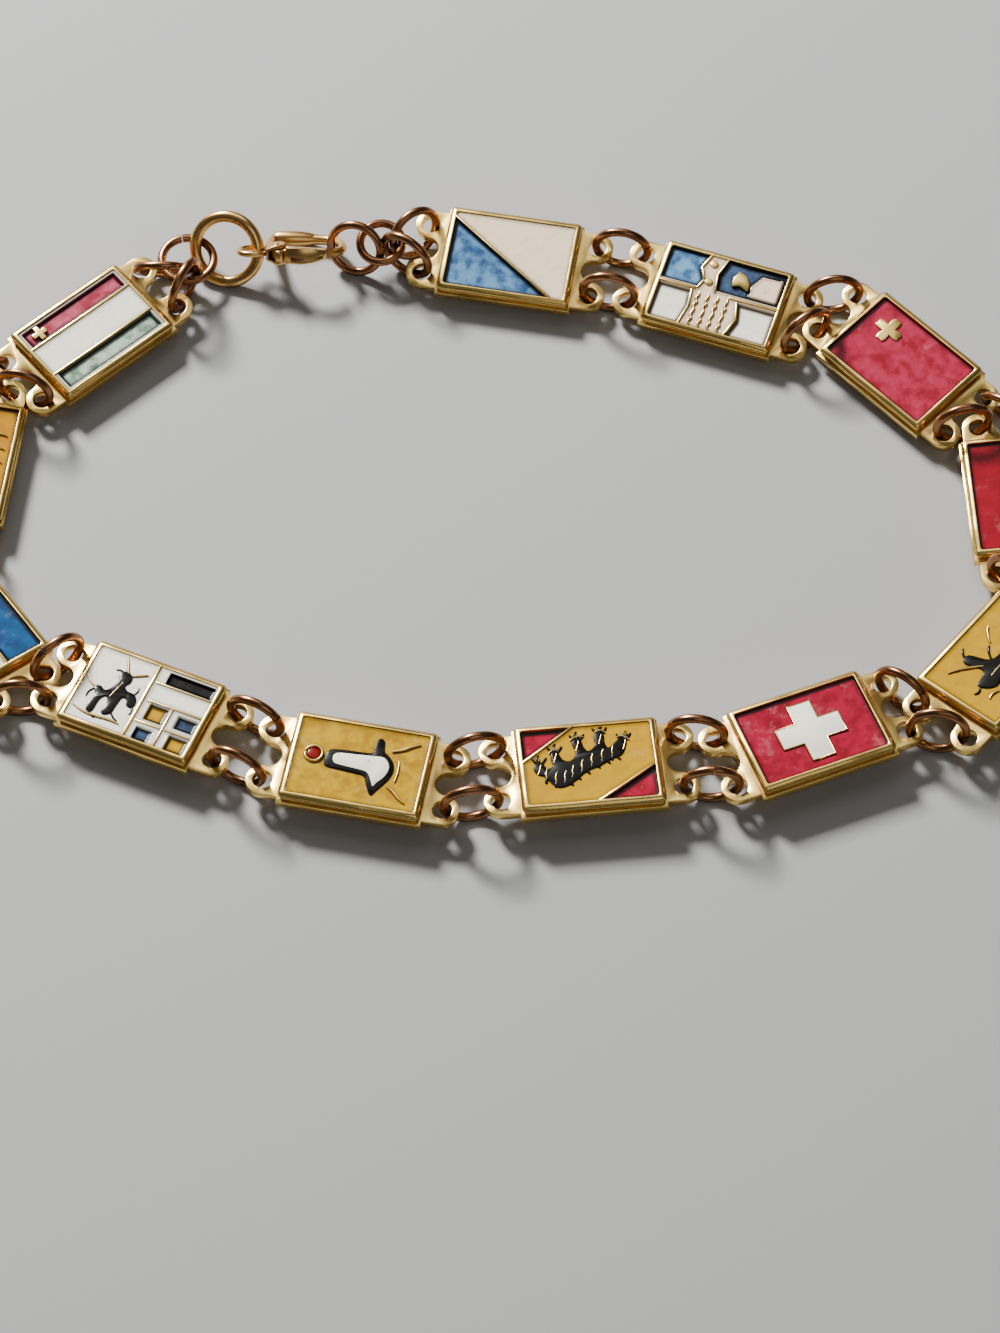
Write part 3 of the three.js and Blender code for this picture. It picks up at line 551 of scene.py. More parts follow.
DESIGNS = {
    # Parted by a slanting line: blue below, cream above.
    "a": {
        "cells": [("cream", None, LEVEL), ("steel", [(-EDGE, 2.72), (3.55, -3.1), (-EDGE, -3.1)], DEEP)],
        "lines": [(0.13, [(-4.4, 2.65), (3.45, -3.05)])],
    },
    # Four fields round a cream figure, with gilt waves under it.
    "b": {
        "cells": [
            ("cream", None, LEVEL),
            ("sky", [(-EDGE, 0.3), (-1.55, 0.3), (-1.3, 0.9), (-1.75, 1.9), (-1.4, 3.1), (-EDGE, 3.1)], SUNK),
            ("white", [(-EDGE, -3.1), (-2.0, -3.1), (-1.75, -1.4), (-1.9, -0.15), (-EDGE, -0.15)], SUNK),
            ("slate", [(-0.35, 0.3), (EDGE, 0.3), (EDGE, 3.1), (-0.1, 3.1), (-0.5, 1.6)], SUNK),
            ("cream", [(2.1, 0.5), (4.1, 0.5), (4.1, 2.5), (2.6, 2.4), (2.0, 1.4)], LEVEL),
            ("white", [(1.35, -3.1), (EDGE, -3.1), (EDGE, -0.25), (1.5, -0.25), (1.75, -1.5)], SUNK),
        ],
        "lines": [
            (0.2, [(-4.4, 0.08), (-1.8, 0.08)]),
            (0.2, [(0.9, 0.05), (4.4, 0.05)]),
            (0.15, [(-1.9, -0.1), (-1.75, -1.4), (-2.05, -3.0)]),
            (0.15, [(1.45, -0.2), (1.75, -1.5), (1.3, -3.0)]),
            (0.14, [(-1.35, 3.0), (-1.75, 1.9), (-1.3, 0.9), (-1.6, 0.2)]),
            (0.14, [(-0.1, 3.0), (-0.5, 1.6), (-0.3, 0.2)]),
        ],
        "figures": [
            ("gilt", [(0.7, 1.0), (1.2, 1.2), (1.9, 0.9), (1.9, 1.5), (1.5, 2.1), (0.9, 2.3), (0.6, 1.7)]),
            ("gilt", ring_outline(-1.0, 2.35, 0.3, 8)),
            ("gilt", ring_outline(-0.95, 0.85, 0.3, 8)),
        ],
        "strokes": [("gilt", 0.07, wave) for wave in WAVES],
    },
    # One rose red field with a small lobed gilt cross.
    "c": {"cells": [("rose", None, SUNK)], "figures": [("gilt", lobed_outline(-2.3, 1.2, 1.2))]},
    # One plain red field.
    "d": {"cells": [("red", None, SUNK)]},
    # A black beast on yellow.
    "e": {
        "cells": [("yellow", None, LEVEL)],
        "figures": [("black", swept(BEAST))],
        "strokes": [
            ("gilt", 0.08, [(3.1, -1.9), (2.5, -1.6), (1.7, -0.9), (1.2, -0.4)]),
            ("gilt", 0.08, [(3.0, 1.5), (2.6, 1.3), (2.1, 1.6)]),
            ("gilt", 0.08, [(-1.6, -2.1), (-1.1, -1.9), (-0.6, -1.2)]),
            ("gilt", 0.06, [(1.5, 0.5), (0.6, 0.4), (-0.6, 0.5)]),
            ("black", 0.1, [(2.6, 0.4), (3.1, 0.8), (3.35, 0.5)]),
            ("black", 0.1, [(1.5, -1.5), (1.35, -2.1), (0.9, -2.3)]),
            ("black", 0.1, [(-2.8, -1.1), (-3.3, -1.5), (-3.1, -2.0)]),
            ("black", 0.1, [(-2.6, 2.0), (-3.1, 2.3), (-3.5, 1.9)]),
            ("black", 0.1, [(-1.2, 1.3), (-1.0, 2.0), (-0.5, 2.3)]),
            ("black", 0.1, [(0.4, -0.3), (0.1, -0.9), (-0.4, -1.1)]),
            ("gilt", 0.06, [(-2.3, 0.6), (-1.8, 0.1), (-1.9, -0.6)]),
        ],
    },
    # A white cross on red.
    "f": {"cells": [("crimson", None, SUNK)], "figures": [("white", cross_outline(0, 0, 2.25, 0.8))]},
    # A black bear on a slanting yellow band, with a red corner on each side.
    "g": {
        "cells": [
            ("yellow", None, LEVEL),
            ("crimson", [(EDGE, -3.1), (0.7, -3.1), (EDGE, -0.35)], DEEP),
            ("crimson", [(-EDGE, 0.3), (-EDGE, 3.1), (-0.3, 3.1)], DEEP),
        ],
        "lines": [(0.17, [(0.8, -3.05), (4.4, -0.42)]), (0.17, [(-4.4, 0.35), (-0.4, 3.0)])],
        "figures": [("black", swept(BEAR, 3))],
        "strokes": [
            ("gilt", 0.06, [(-1.3, -2.3), (-1.0, -2.75), (-0.6, -2.4)]),
            ("gilt", 0.06, [(0.2, -2.1), (0.7, -2.35), (1.1, -1.9)]),
            ("gilt", 0.06, [(2.0, -1.2), (2.3, -1.4), (2.6, -1.0)]),
            ("gilt", 0.06, [(-2.8, -1.6), (-2.4, -2.1), (-2.0, -1.9)]),
            ("black", 0.09, [(3.3, -0.2), (3.5, -0.65), (3.3, -0.95)]),
            ("black", 0.09, [(2.4, -1.0), (2.35, -1.5), (2.1, -1.75)]),
            ("black", 0.09, [(0.7, -1.9), (0.9, -2.4), (0.6, -2.6)]),
            ("black", 0.09, [(-0.85, -2.3), (-0.75, -2.75), (-1.1, -2.8)]),
            ("black", 0.09, [(-2.4, -1.6), (-2.8, -2.0), (-2.6, -2.35)]),
            *(("gilt", 0.055, [(x, y + 0.35), (x + 0.12, y), (x - 0.1, y - 0.4)]) for x, y in BEAR_FUR),
            *(("gilt", 0.05, [(x - 0.1, y + 0.1), (x, y + 0.5), (x + 0.15, y + 0.85)]) for x, y in BEAR_CLAWS),
            *(
                ("black", 0.1, [(x, y + 0.2), (x + 0.7 * lean, y - 0.2), (x + lean, y - 0.45)])
                for x, y in BEAR_CLAWS
                for lean in (-0.5, 0.0, 0.45)
            ),
            *(
                ("black", 0.12, [(x, y + 0.2), (x + 0.6 * lean, y + 0.5), (x + lean, y + 0.75)])
                for x, y in BEAR_FUR
                for lean in (-0.45, 0.1)
            ),
        ],
    },
    # The head of a bull in black and white on golden yellow, with a garnet ring.
    "h": {
        "cells": [("golden", None, LEVEL)],
        "figures": [
            ("black", swept(BULL_EDGE, 3)),
            ("white", swept(BULL_FACE, 3), 0.05),
            ("garnet", ring_outline(3.05, -0.25, 0.42)),
        ],
        "strokes": [
            ("gilt", 0.1, [(-2.0, -1.35), (-2.7, -1.6), (-3.2, -2.0), (-3.75, -2.25)]),
            ("gilt", 0.1, [(-2.2, 1.35), (-2.8, 1.75), (-3.1, 2.15), (-3.55, 2.4)]),
            ("gilt", 0.1, ring_outline(3.05, -0.25, 0.58, 20)),
            ("gilt", 0.07, [(-2.6, -0.7), (-2.75, 0.1), (-2.6, 0.9)]),
        ],
    },
    # A black ibex beside a column of small fields.
    "i": {
        "cells": [
            ("white", None, LEVEL),
            ("black", [(-4.15, -2.75), (-0.85, -2.75), (-0.85, -1.85), (-4.15, -1.85)], SUNK),
            ("yellow", [(-0.65, 0.0), (-1.95, 0.0), (-1.95, 1.25), (-0.65, 1.25)], SUNK),
            ("slate", [(-2.8, 0.15), (-4.15, 0.15), (-4.15, 1.15), (-2.8, 1.15)], SUNK),
            ("slate", [(-0.55, 1.95), (-1.65, 1.95), (-1.65, 2.9), (-0.55, 2.9)], SUNK),
            ("yellow", [(-2.85, 1.75), (-4.15, 1.75), (-4.15, 2.9), (-2.85, 2.9)], SUNK),
        ],
        "lines": [
            (0.2, [(0.0, -3.0), (0.0, 3.0)]),
            (0.1, [(-0.4, -0.2), (-4.3, -0.2)]),
            (0.1, [(-0.3, 1.55), (-4.3, 1.55)]),
            (0.1, [(-2.2, -0.2), (-2.2, 3.0)]),
            (0.1, [(-0.3, -1.7), (-4.3, -1.7)]),
        ],
        "figures": [("black", swept(IBEX, 3))],
        "strokes": [
            ("gilt", 0.07, [(1.75, -1.6), (1.95, -2.1), (2.3, -2.75)]),
            ("gilt", 0.07, [(1.4, -1.5), (0.9, -1.75), (0.45, -2.0)]),
            ("gilt", 0.06, [(3.3, 0.2), (3.7, 0.1), (4.15, -0.45)]),
            ("gilt", 0.06, [(4.1, 2.0), (3.4, 2.3), (2.4, 2.35), (1.4, 2.2), (0.6, 2.3)]),
            ("gilt", 0.05, [(2.1, 0.6), (1.95, 0.0), (1.75, -0.8)]),
            ("black", 0.08, [(1.5, 1.6), (1.2, 2.05), (0.85, 2.1)]),
            ("black", 0.08, [(2.95, 2.0), (2.7, 2.4), (2.35, 2.45)]),
            ("black", 0.08, [(0.4, 0.7), (0.15, 1.15), (0.35, 1.35)]),
            ("black", 0.07, [(0.7, -0.2), (0.45, -0.55), (0.6, -0.85)]),
            ("black", 0.07, [(3.3, 0.3), (3.7, 0.7), (3.55, 1.1)]),
            ("black", 0.07, [(1.9, -1.5), (2.35, -1.75), (2.6, -1.55)]),
        ],
    },
    # Parted along its length: white and strong blue.
    "j": {
        "cells": [("white", None, LEVEL), ("blue", [(-EDGE, -3.1), (EDGE, -3.1), (EDGE, -0.2), (-EDGE, -0.2)], SUNK)],
        "lines": [(0.2, [(-4.4, -0.18), (4.4, -0.18)])],
    },
    # One orange yellow field with short strokes at its edge.
    "k": {
        "cells": [("orange", None, SUNK)],
        "strokes": [
            ("gilt", 0.09, [(x, -2.5), (x + 0.25, -2.1), (x + 0.05, -1.75)]) for x in (-2.3, -1.2, -0.1, 1.0, 2.1)
        ],
    },
    # Three stripes, with a small gilt cross in the first.
    "l": {
        "cells": [
            ("white", None, LEVEL),
            ("pink", [(-4.1, 1.4), (4.1, 1.4), (4.1, 2.75), (-4.1, 2.75)], SUNK),
            ("green", [(-4.1, -2.75), (4.1, -2.75), (4.1, -1.35), (-4.1, -1.35)], DEEP),
        ],
        "lines": [(0.16, [(-4.4, 1.28), (4.4, 1.28)]), (0.14, [(-4.4, -1.25), (4.4, -1.25)])],
        "figures": [("gilt", lobed_outline(-3.0, 2.1, 0.68))],
    },
}


LINE_HEIGHT = 0.34
FIGURE_RISE = 0.09
FIGURE_SINK = 0.05
GILT_FIGURE_SINK = 0.25
GILT_STROKE_RISE = 0.07
STROKE_RISE = 0.02
CROSS_RIM = 0.07
CROSS_RIM_SINK = 0.04


def within(outline, x, y):
    """Whether a point lies inside an outline."""
    odd = False
    for (xa, ya), (xb, yb) in zip(outline, outline[1:] + outline[:1]):
        if (ya > y) != (yb > y) and x < (xb - xa) * (y - ya) / (yb - ya) + xa:
            odd = not odd
    return odd


def cast_line(width, points):
    """A gilt line between two fields: bars end to end, with rounded tops."""
    parts = []
    for (xa, ya), (xb, yb) in zip(points, points[1:]):
        length = math.hypot(xb - xa, yb - ya)
        piece = bar((0, 0, 0), (length + width, width, LINE_HEIGHT))
        piece.rotation_euler.z = math.atan2(yb - ya, xb - xa)
        piece.location = ((xa + xb) / 2, (ya + yb) / 2, PLAQUE_HEIGHT - LINE_HEIGHT / 2)
        alone(piece)
        bpy.ops.object.transform_apply(location=True, rotation=True, scale=True)
        piece.data.materials.append(PLAQUE_GILT)
        parts.append(rounded_edges(piece, 0.3 * width, 2))
    return parts


def raised_field(outline, low, high, material):
    """A raised field: a disc whose rim is drawn out to the outline, given thickness and round edges."""
    bpy.ops.object.select_all(action="DESELECT")
    bpy.ops.mesh.primitive_circle_add(vertices=len(outline), radius=1, fill_type="NGON")
    piece = bpy.context.active_object
    for vertex, (x, y) in zip(piece.data.vertices, outline):
        vertex.co = (x, y, high)
    alone(piece)
    bpy.ops.object.mode_set(mode="EDIT")
    bpy.ops.mesh.select_all(action="SELECT")
    bpy.ops.mesh.normals_make_consistent(inside=False)
    bpy.ops.object.mode_set(mode="OBJECT")
    if piece.data.polygons[0].normal.z < 0:
        bpy.ops.object.mode_set(mode="EDIT")
        bpy.ops.mesh.flip_normals()
        bpy.ops.object.mode_set(mode="OBJECT")
    thickness = piece.modifiers.new("thickness", "SOLIDIFY")
    thickness.thickness = high - low
    thickness.offset = -1
    finished(piece)
    rounded_edges(piece, 0.035, 2, 50)
    piece.data.materials.append(material)
    return piece


def raised_stroke(points, radius, level, material, kind="NURBS"):
    """A raised line: a thin bead drawn through the points, half sunk."""
    bpy.ops.object.select_all(action="DESELECT")
    bpy.ops.curve.primitive_nurbs_path_add()
    path = bpy.context.active_object
    path.data.splines.clear()
    spline = path.data.splines.new(kind)
    spline.points.add(len(points) - 1)
    for i, (point, (x, y)) in enumerate(zip(spline.points, points)):
        point.co = (x, y, level, 1)
        point.radius = 0.6 if kind == "NURBS" and i in (0, len(points) - 1) else 1
    if kind == "NURBS":
        spline.use_endpoint_u = True
        spline.order_u = 3
        spline.resolution_u = 6
    path.data.bevel_depth = radius
    path.data.bevel_resolution = 2
    path.data.use_fill_caps = True
    bpy.ops.object.convert(target="MESH")
    piece = bpy.context.active_object
    bpy.ops.object.shade_smooth()
    piece.data.materials.clear()
    piece.data.materials.append(material)
    return piece


def enamel_sheet(name, design):
    """The enamel in one tray: a fine grid in its fields of colour, each at its level, with a mask of painted shade
    along its walls, then waved and dimpled.
    """
    bpy.ops.object.select_all(action="DESELECT")
    columns = round(2 * TRAY_HALF_LENGTH / GRID_PITCH)
    rows = round(2 * TRAY_HALF_WIDTH / GRID_PITCH)
    bpy.ops.mesh.primitive_grid_add(x_subdivisions=columns, y_subdivisions=rows, size=2)
    piece = bpy.context.active_object
    piece.scale = (TRAY_HALF_LENGTH, TRAY_HALF_WIDTH, 1)
    bpy.ops.object.transform_apply(location=True, rotation=True, scale=True)
    mesh = piece.data
    cells = design["cells"]
    for colour in [c[0] for c in cells]:
        mesh.materials.append(ENAMELS[colour])
    for face in mesh.polygons:
        x, y = face.center.x, face.center.y
        face.material_index = max(i for i, c in enumerate(cells) if c[1] is None or within(c[1], x, y))
    # A mask of painted shade along the tray's edge and along every line and field border; the deeper fields get more
    # of it.
    edge_shade = mesh.attributes.new("painted_edge_shade", "FLOAT", "POINT")
    walls = [(width, a, b) for width, line in design.get("lines", []) for a, b in zip(line, line[1:])]
    walls += [(0.0, a, b) for c in cells if c[1] for a, b in zip(c[1], c[1][1:] + c[1][:1])]
    for vertex in mesh.vertices:
        x, y = vertex.co.x, vertex.co.y
        level = [c[2] for c in cells if c[1] is None or within(c[1], x, y)][-1]
        near = min(TRAY_HALF_LENGTH - abs(x), TRAY_HALF_WIDTH - abs(y))
        for width, a, b in walls:
            run = Vector(b) - Vector(a)
            share = max(0.0, min(1.0, (Vector((x, y)) - Vector(a)).dot(run) / run.length_squared))
            near = min(near, (Vector(a) + share * run - Vector((x, y))).length - width / 2)
        near = max(near, 0)
        vertex.co.z = PLAQUE_HEIGHT + level + CLIMB * math.exp(-near / CLIMB_REACH)
        depth = 0.6 if level == LEVEL else 1.0 if level == cells[0][2] else 2.2
        edge_shade.data[vertex.index].value = min(1.0, depth * math.exp(-((near / EDGE_SHADE_REACH) ** 2)))
    texture = bpy.data.textures.new("dimples of " + name, "CLOUDS")
    texture.noise_scale = 0.55
    texture.noise_depth = 3
    dimples = piece.modifiers.new("dimples", "DISPLACE")
    dimples.texture = texture
    dimples.strength = 2 * DIMPLE
    dimples.mid_level = 0.6
    dimples.direction = "Z"
    body = piece.modifiers.new("body", "SOLIDIFY")
    body.thickness = ENAMEL_THICKNESS
    body.offset = -1
    finished(piece)
    bpy.ops.object.shade_smooth()
    return piece


mould = plaque_mould()
mould.data.materials.append(PLAQUE_GILT)
for letter in LETTERS:
    design = DESIGNS[letter]
    casting = mould.copy()
    casting.data = mould.data.copy()
    bpy.context.scene.collection.objects.link(casting)
    metal = [casting]
    enamel = [enamel_sheet(letter, design)]
    for width, points in design.get("lines", []):
        metal += cast_line(width, points)
    top = PLAQUE_HEIGHT + design["cells"][0][2]
    for colour, outline, *extra in design.get("figures", []):
        high = top + FIGURE_RISE + sum(extra)
        if colour == "gilt":
            metal.append(raised_field(outline, top - GILT_FIGURE_SINK, high, PLAQUE_GILT))
        else:
            enamel.append(raised_field(outline, top - FIGURE_SINK, high, ENAMELS[colour]))
        if letter == "f":
            rim = [*outline, outline[0]]
            metal.append(raised_stroke(rim, CROSS_RIM, high - CROSS_RIM_SINK, PLAQUE_GILT, "POLY"))
    for colour, radius, points in design.get("strokes", []):
        if colour == "gilt":
            metal.append(raised_stroke(points, radius, top + GILT_STROKE_RISE, PLAQUE_GILT))
        else:
            enamel.append(raised_stroke(points, radius, top + STROKE_RISE, ENAMELS[colour]))
    lie = plaque_lie(letter)
    casting = placed(joined("casting_" + letter, metal), lie)
    fill = placed(joined("fired_enamel_" + letter, enamel), lie)
    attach(casting, "bracelet")
    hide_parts("plaque_" + letter)
    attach(fill, "bracelet")
    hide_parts("enamel_" + letter)
bpy.data.objects.remove(mould)

# Jump rings: round brass wire wound on a rod, cut into rings and closed through the ears with pliers, so
# each has a fine split. The plating is thin and has gone bronze.
SPLIT = 3.0
WIRE_FULLNESS = 1.34
WIRE_SIDES = 14
RING_STEPS = 48
RING_GILT = (0.36, 0.17, 0.075, 1)
RING_ROSE = (0.19, 0.075, 0.035, 1)
RING_TARNISH = (0.04, 0.016, 0.008, 1)
RING_BRONZE = plated("ring bronze", RING_GILT, RING_ROSE, RING_TARNISH, 0.9)
# The large end ring keeps more of its plating, as the clasp does, and shares its metal.
CLASP_GILT = (0.88, 0.54, 0.18, 1)
CLASP_ROSE = (0.58, 0.28, 0.10, 1)
CLASP_BRONZE = plated("clasp bronze", CLASP_GILT, CLASP_ROSE, RING_TARNISH, 0.8)


def ring_measures(name):
    """A ring's middle, the way it faces, its radius and its wire's radius, read from its solid."""
    mesh = frame["nodes"][name].data
    points = np.array(sorted({tuple(round(c, 7) for c in v.co) for v in mesh.vertices}))
    middle = points.mean(axis=0)
    facing = Vector(np.linalg.svd(points - middle)[2][2])
    reach = np.linalg.norm(points - middle, axis=1)
    radius, wire = (reach.max() + reach.min()) / 2, (reach.max() - reach.min()) / 2
    return Vector(middle), facing, radius / MM, wire / MM


def wound_ring(radius, wire):
    """A ring of round wire, spun nearly all the way round, with its two cut ends filled."""
    bpy.ops.object.select_all(action="DESELECT")
    bpy.ops.mesh.primitive_circle_add(
        vertices=WIRE_SIDES, radius=wire, location=(radius, 0, 0), rotation=(math.pi / 2, 0, 0)
    )
    piece = bpy.context.active_object
    bpy.ops.object.transform_apply(location=True, rotation=True, scale=True)
    bpy.ops.object.mode_set(mode="EDIT")
    bpy.ops.mesh.select_all(action="SELECT")
    bpy.ops.mesh.spin(steps=RING_STEPS, angle=math.radians(360 - SPLIT), center=(0, 0, 0), axis=(0, 0, 1))
    bpy.ops.mesh.select_mode(type="VERT")
    bpy.ops.mesh.select_all(action="DESELECT")
    bpy.ops.mesh.select_non_manifold()
    bpy.ops.mesh.fill_holes(sides=0)
    bpy.ops.mesh.select_all(action="SELECT")
    bpy.ops.mesh.normals_make_consistent(inside=False)
    bpy.ops.object.mode_set(mode="OBJECT")
    bpy.ops.object.shade_smooth_by_angle(angle=math.radians(40))
    return piece


RING_NODES = [n for n in sorted(frame["nodes"]) if "ring" in n]
for count, node in enumerate(RING_NODES):
    middle, facing, radius, wire = ring_measures(node)
    piece = wound_ring(radius, wire * WIRE_FULLNESS)
    piece.data.materials.append(CLASP_BRONZE if node == "large_ring" else RING_BRONZE)
    piece.name = "wound_" + node
    turn = Matrix.Rotation(math.radians(137.5 * count), 4, "Z")
    lie = Matrix.Translation(middle) @ facing.to_track_quat("Z", "Y").to_matrix().to_4x4() @ turn
    placed(piece, lie)
    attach(piece, "bracelet")
    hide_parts(node)

# The clasp: a cast hook with a thick barrel along its far arm, a nose that the ring hangs in, and a tail
# with two cheeks and an eye. Between the cheeks a stamped lever turns on a pin and shuts against the nose.
HINGE = Vector((-1.95, 1.45, 0))
CLASP_SPAN = 3.6
CLASP_REACH = 2.7
BARREL_RADIUS = 0.62
BARREL_LENGTH = 3.4
CHEEK_RADIUS = 0.62
CHEEK_THICKNESS = 0.28
CLASP_WIDTH = 1.6
LEVER_LENGTH = 3.6
LEVER_WIDTH = 1.2
LEVER_THICKNESS = 0.5
LEVER_BOW = 0.55
KNUCKLE_RADIUS = 0.42
PIN_RADIUS = 0.2
NUB_RADIUS = 0.3
BAND_ROUND = 0.17
LEVER_GROOVE = (0.1, 0.32)
EYE_HALF_LENGTH = 1.0
EYE_HALF_WIDTH = 0.82
EYE_WIRE = 0.22
TAIL_TAPER = [(-2.75, 0.4), (-2.45, 0.62), (-2.0, 0.92), (-1.7, 0.92)]
LEVER_TAPER = [(-2.4, 0.8), (-1.6, 1.0), (-0.2, 1.0), (0.8, 0.82), (1.7, 0.5)]

hinge = frame["joints"][0]
through = -Vector(hinge["axis"]).normalized()
along = Vector((1, 0, 0))
CLASP_LIE = Matrix((along, through.cross(along), through)).transposed().to_4x4()
CLASP_LIE.translation = Vector(hinge["pos_m"]) - CLASP_LIE.to_3x3() @ (HINGE * MM)


def drawn_rod(points, radii, material):
    """A cast rod through points of the clasp's plane, thick and thin by its radii."""
    bpy.ops.object.select_all(action="DESELECT")
    bpy.ops.curve.primitive_nurbs_path_add()
    path = bpy.context.active_object
    path.data.splines.clear()
    spline = path.data.splines.new("NURBS")
    spline.points.add(len(points) - 1)
    for point, (x, y), radius in zip(spline.points, points, radii):
        point.co = (x, y, 0, 1)
        point.radius = radius
    spline.use_endpoint_u = True
    spline.order_u = 3
    spline.resolution_u = 8
    path.data.bevel_depth = 1
    path.data.bevel_resolution = 5
    path.data.use_fill_caps = True
    bpy.ops.object.convert(target="MESH")
    piece = bpy.context.active_object
    bpy.ops.object.shade_smooth()
    piece.data.materials.clear()
    piece.data.materials.append(material)
    return piece


def narrowed(piece, taper):
    """Draw a piece in through its thickness, by shares given at places along the clasp."""
    for vertex in piece.data.vertices:
        vertex.co.z *= float(np.interp(vertex.co.x, [x for x, _ in taper], [share for _, share in taper]))
    return piece


far = -CLASP_SPAN / 2
arm = drawn_rod(
    [
        (HINGE.x - 0.5, HINGE.y - 0.75), (HINGE.x - 0.6, far + 0.9), (HINGE.x - 0.3, far + 0.2), (-1.2, far),
        (0, far), (CLASP_REACH - 1.2, far + 0.12), (CLASP_REACH - 0.3, far + 0.7), (CLASP_REACH, 0.0),
        (CLASP_REACH, 0.6), (CLASP_REACH - 0.2, 1.1), (CLASP_REACH - 0.6, HINGE.y + 0.05),
    ],
    [0.42, 0.38, 0.4, 0.42, 0.4, 0.36, 0.35, 0.35, 0.34, 0.32, 0.24],
    CLASP_BRONZE,
)
barrel_start = HINGE.x + 1.1 - BARREL_LENGTH / 2
barrel = drawn_rod(
    [(barrel_start + BARREL_LENGTH * share, far) for share in (0, 0.03, 0.1, 0.2, 0.45, 0.7, 0.88, 1)],
    [0.12, 0.34, 0.52, BARREL_RADIUS, BARREL_RADIUS + 0.01, BARREL_RADIUS - 0.04, 0.46, 0.34],
    CLASP_BRONZE,
)
tail_x = HINGE.x - KNUCKLE_RADIUS - 0.1
cheek_outline = [
    (HINGE.x + CHEEK_RADIUS * math.cos(math.radians(a)), HINGE.y + CHEEK_RADIUS * math.sin(math.radians(a)))
    for a in range(-60, 91, 15)
]
cheek_outline += [(tail_x - 0.2, HINGE.y + 0.5), (tail_x - 0.22, HINGE.y - 0.4), (tail_x - 0.1, HINGE.y - 1.1)]
tail = raised_field(cheek_outline, -CLASP_WIDTH / 2, CLASP_WIDTH / 2, CLASP_BRONZE)
slot_width = CLASP_WIDTH - 2 * CHEEK_THICKNESS
worked(tail, bar((tail_x + 1.5, HINGE.y, 0), (3, 3, slot_width)), "DIFFERENCE")
rounded_edges(tail, 0.1, 3, 50)
bpy.ops.object.select_all(action="DESELECT")
bpy.ops.mesh.primitive_torus_add(
    major_radius=EYE_HALF_LENGTH, minor_radius=EYE_WIRE, major_segments=32, minor_segments=12,
    location=(tail_x - 0.13 - EYE_HALF_LENGTH, HINGE.y - 0.45, 0),
)
eye = bpy.context.active_object
eye.scale.y = EYE_HALF_WIDTH / EYE_HALF_LENGTH
bpy.ops.object.transform_apply(location=True, rotation=True, scale=True)
bpy.ops.object.shade_smooth()
eye.data.materials.append(CLASP_BRONZE)
hook = placed(joined("clasp_hook", [arm, barrel, narrowed(tail, TAIL_TAPER), eye]), CLASP_LIE)
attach(hook, "bracelet")
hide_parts("clasp_body")


def lever_band(start, end, inside_half, outside_half, steps=14):
    """Outline of a stretch of the lever's bowed band."""
    tip = HINGE + Vector((LEVER_LENGTH, 0.1, 0))
    shares = [start + (end - start) * i / steps for i in range(steps + 1)]
    middles = [HINGE.lerp(tip, s) + Vector((0, 4 * LEVER_BOW * s * (1 - s), 0)) for s in shares]
    lower = [(m.x, m.y - inside_half) for m in middles]
    upper = [(m.x, m.y + outside_half) for m in middles]
    return lower + upper[::-1]


half = LEVER_THICKNESS / 2
knuckle_half = CLASP_WIDTH / 2 - CHEEK_THICKNESS - 0.1
root_share = (CHEEK_RADIUS + 0.1) / LEVER_LENGTH
band = raised_field(lever_band(root_share, 1, half, half), -LEVER_WIDTH / 2, LEVER_WIDTH / 2, CLASP_BRONZE)
groove = raised_field(lever_band(root_share + 0.08, 0.92, 0.16 - half, 1), *LEVER_GROOVE, CLASP_BRONZE)
worked(band, groove, "DIFFERENCE")
rounded_edges(band, BAND_ROUND, 5, 50)
root = raised_field(lever_band(0, root_share + 0.1, half, half), -knuckle_half, knuckle_half, CLASP_BRONZE)
knuckle = disc(HINGE.x, HINGE.y, KNUCKLE_RADIUS, -knuckle_half, knuckle_half)
pin = disc(HINGE.x, HINGE.y, PIN_RADIUS, -CLASP_WIDTH / 2, CLASP_WIDTH / 2, 20)
nub = disc(HINGE.x + 0.2, HINGE.y + 0.58, NUB_RADIUS, -knuckle_half, knuckle_half, 20)
for piece in (knuckle, pin, nub):
    piece.data.materials.append(CLASP_BRONZE)
    rounded_edges(piece, 0.06, 2, 50)
lever = placed(narrowed(joined("clasp_thumb_lever", [band, root, knuckle, pin, nub]), LEVER_TAPER), CLASP_LIE)
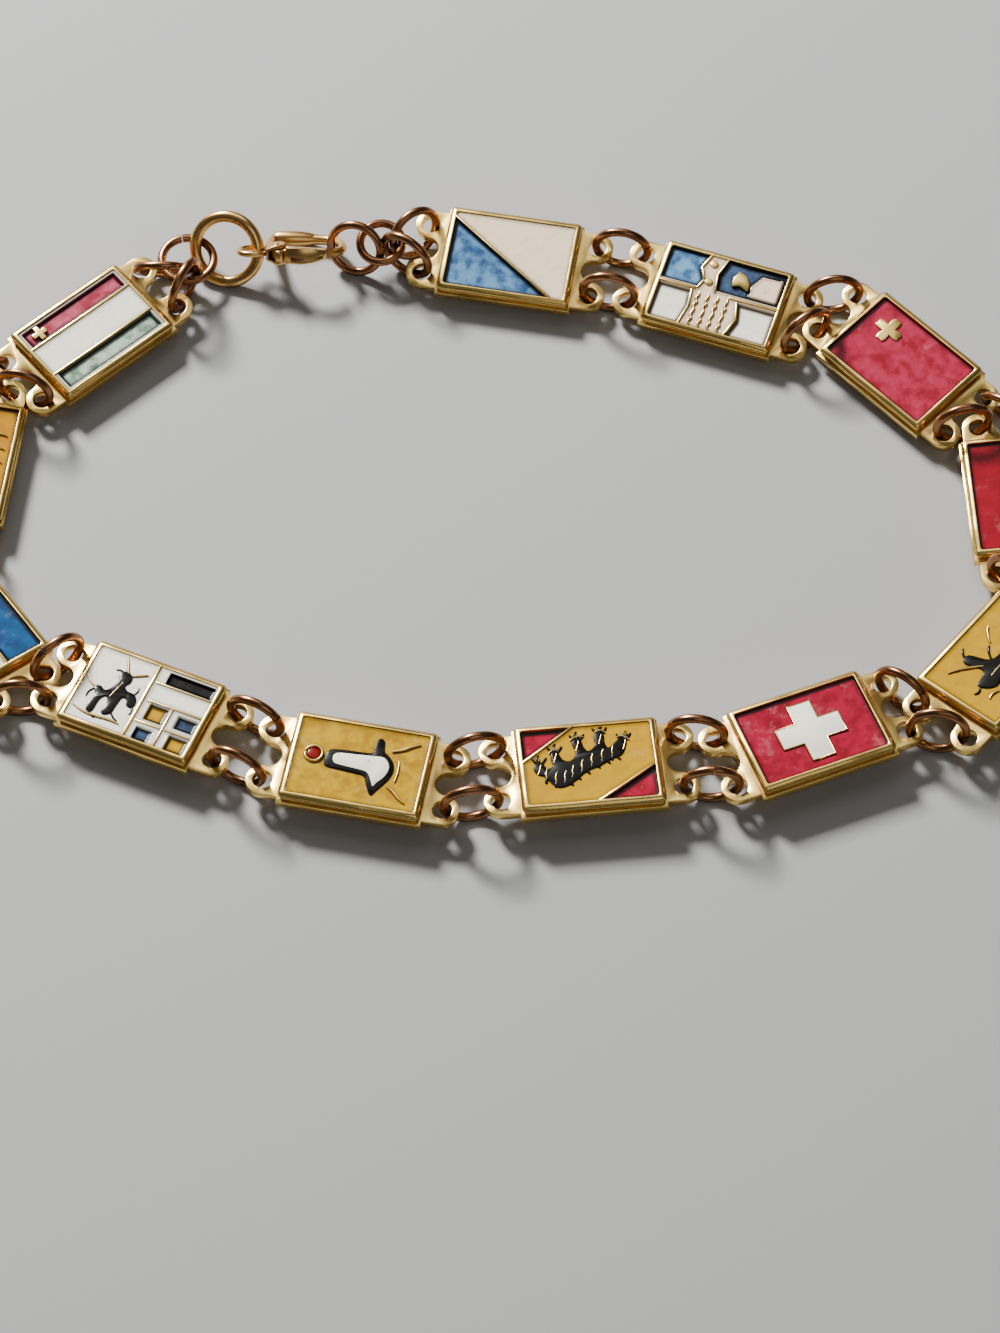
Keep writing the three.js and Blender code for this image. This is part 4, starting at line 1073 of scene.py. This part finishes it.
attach(lever, "lever")
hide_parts("clasp_lever")

# The studio: a plain pale floor, a strong light behind the bracelet with a soft panel over it, and a weak
# fill in front. The camera looks down on the bracelet's near side.
bpy.ops.object.select_all(action="DESELECT")
bpy.ops.mesh.primitive_plane_add(size=3, location=(0, 0, 0))
floor = bpy.context.active_object
floor.name = "floor"
paper = bpy.data.materials.new("pale paper")
paper.use_nodes = True
paper.node_tree.nodes["Principled BSDF"].inputs["Base Color"].default_value = (0.37, 0.367, 0.36, 1)
paper.node_tree.nodes["Principled BSDF"].inputs["Roughness"].default_value = 0.75
floor.data.materials.append(paper)


def soft_light(name, power, size, place, target=(0, 0, 0)):
    """A square soft light that looks at the bracelet."""
    data = bpy.data.lights.new(name, "AREA")
    data.energy = power
    data.size = size
    light = bpy.data.objects.new(name, data)
    bpy.context.scene.collection.objects.link(light)
    light.location = place
    light.rotation_euler = (Vector(target) - Vector(place)).to_track_quat("-Z", "Y").to_euler()


soft_light("key behind", 8.0, 0.10, (-0.22, 0.36, 0.30))
soft_light("panel above", 0.36, 0.30, (0.0, 0.26, 0.46))
soft_light("fill front", 0.4, 0.4, (0.15, -0.35, 0.45))
world = bpy.data.worlds.new("studio")
world.use_nodes = True
world.node_tree.nodes["Background"].inputs["Color"].default_value = (0.80, 0.83, 0.88, 1)
world.node_tree.nodes["Background"].inputs["Strength"].default_value = 0.07
bpy.context.scene.world = world

CAMERA_PLACE = Vector((1.063, -144.049, 224.745)) * MM
CAMERA_DOWN = 59.554
FOCAL_PIXELS = 3868.53
PICTURE_HEIGHT = 1333
SENSOR = 36
camera_data = bpy.data.cameras.new("camera")
camera_data.sensor_width = SENSOR
camera_data.lens = FOCAL_PIXELS / PICTURE_HEIGHT * SENSOR
camera_data.clip_start = 0.01
camera = bpy.data.objects.new("camera", camera_data)
bpy.context.scene.collection.objects.link(camera)
camera.location = CAMERA_PLACE
camera.rotation_euler = (math.radians(90 - CAMERA_DOWN), 0, 0)
bpy.context.scene.camera = camera
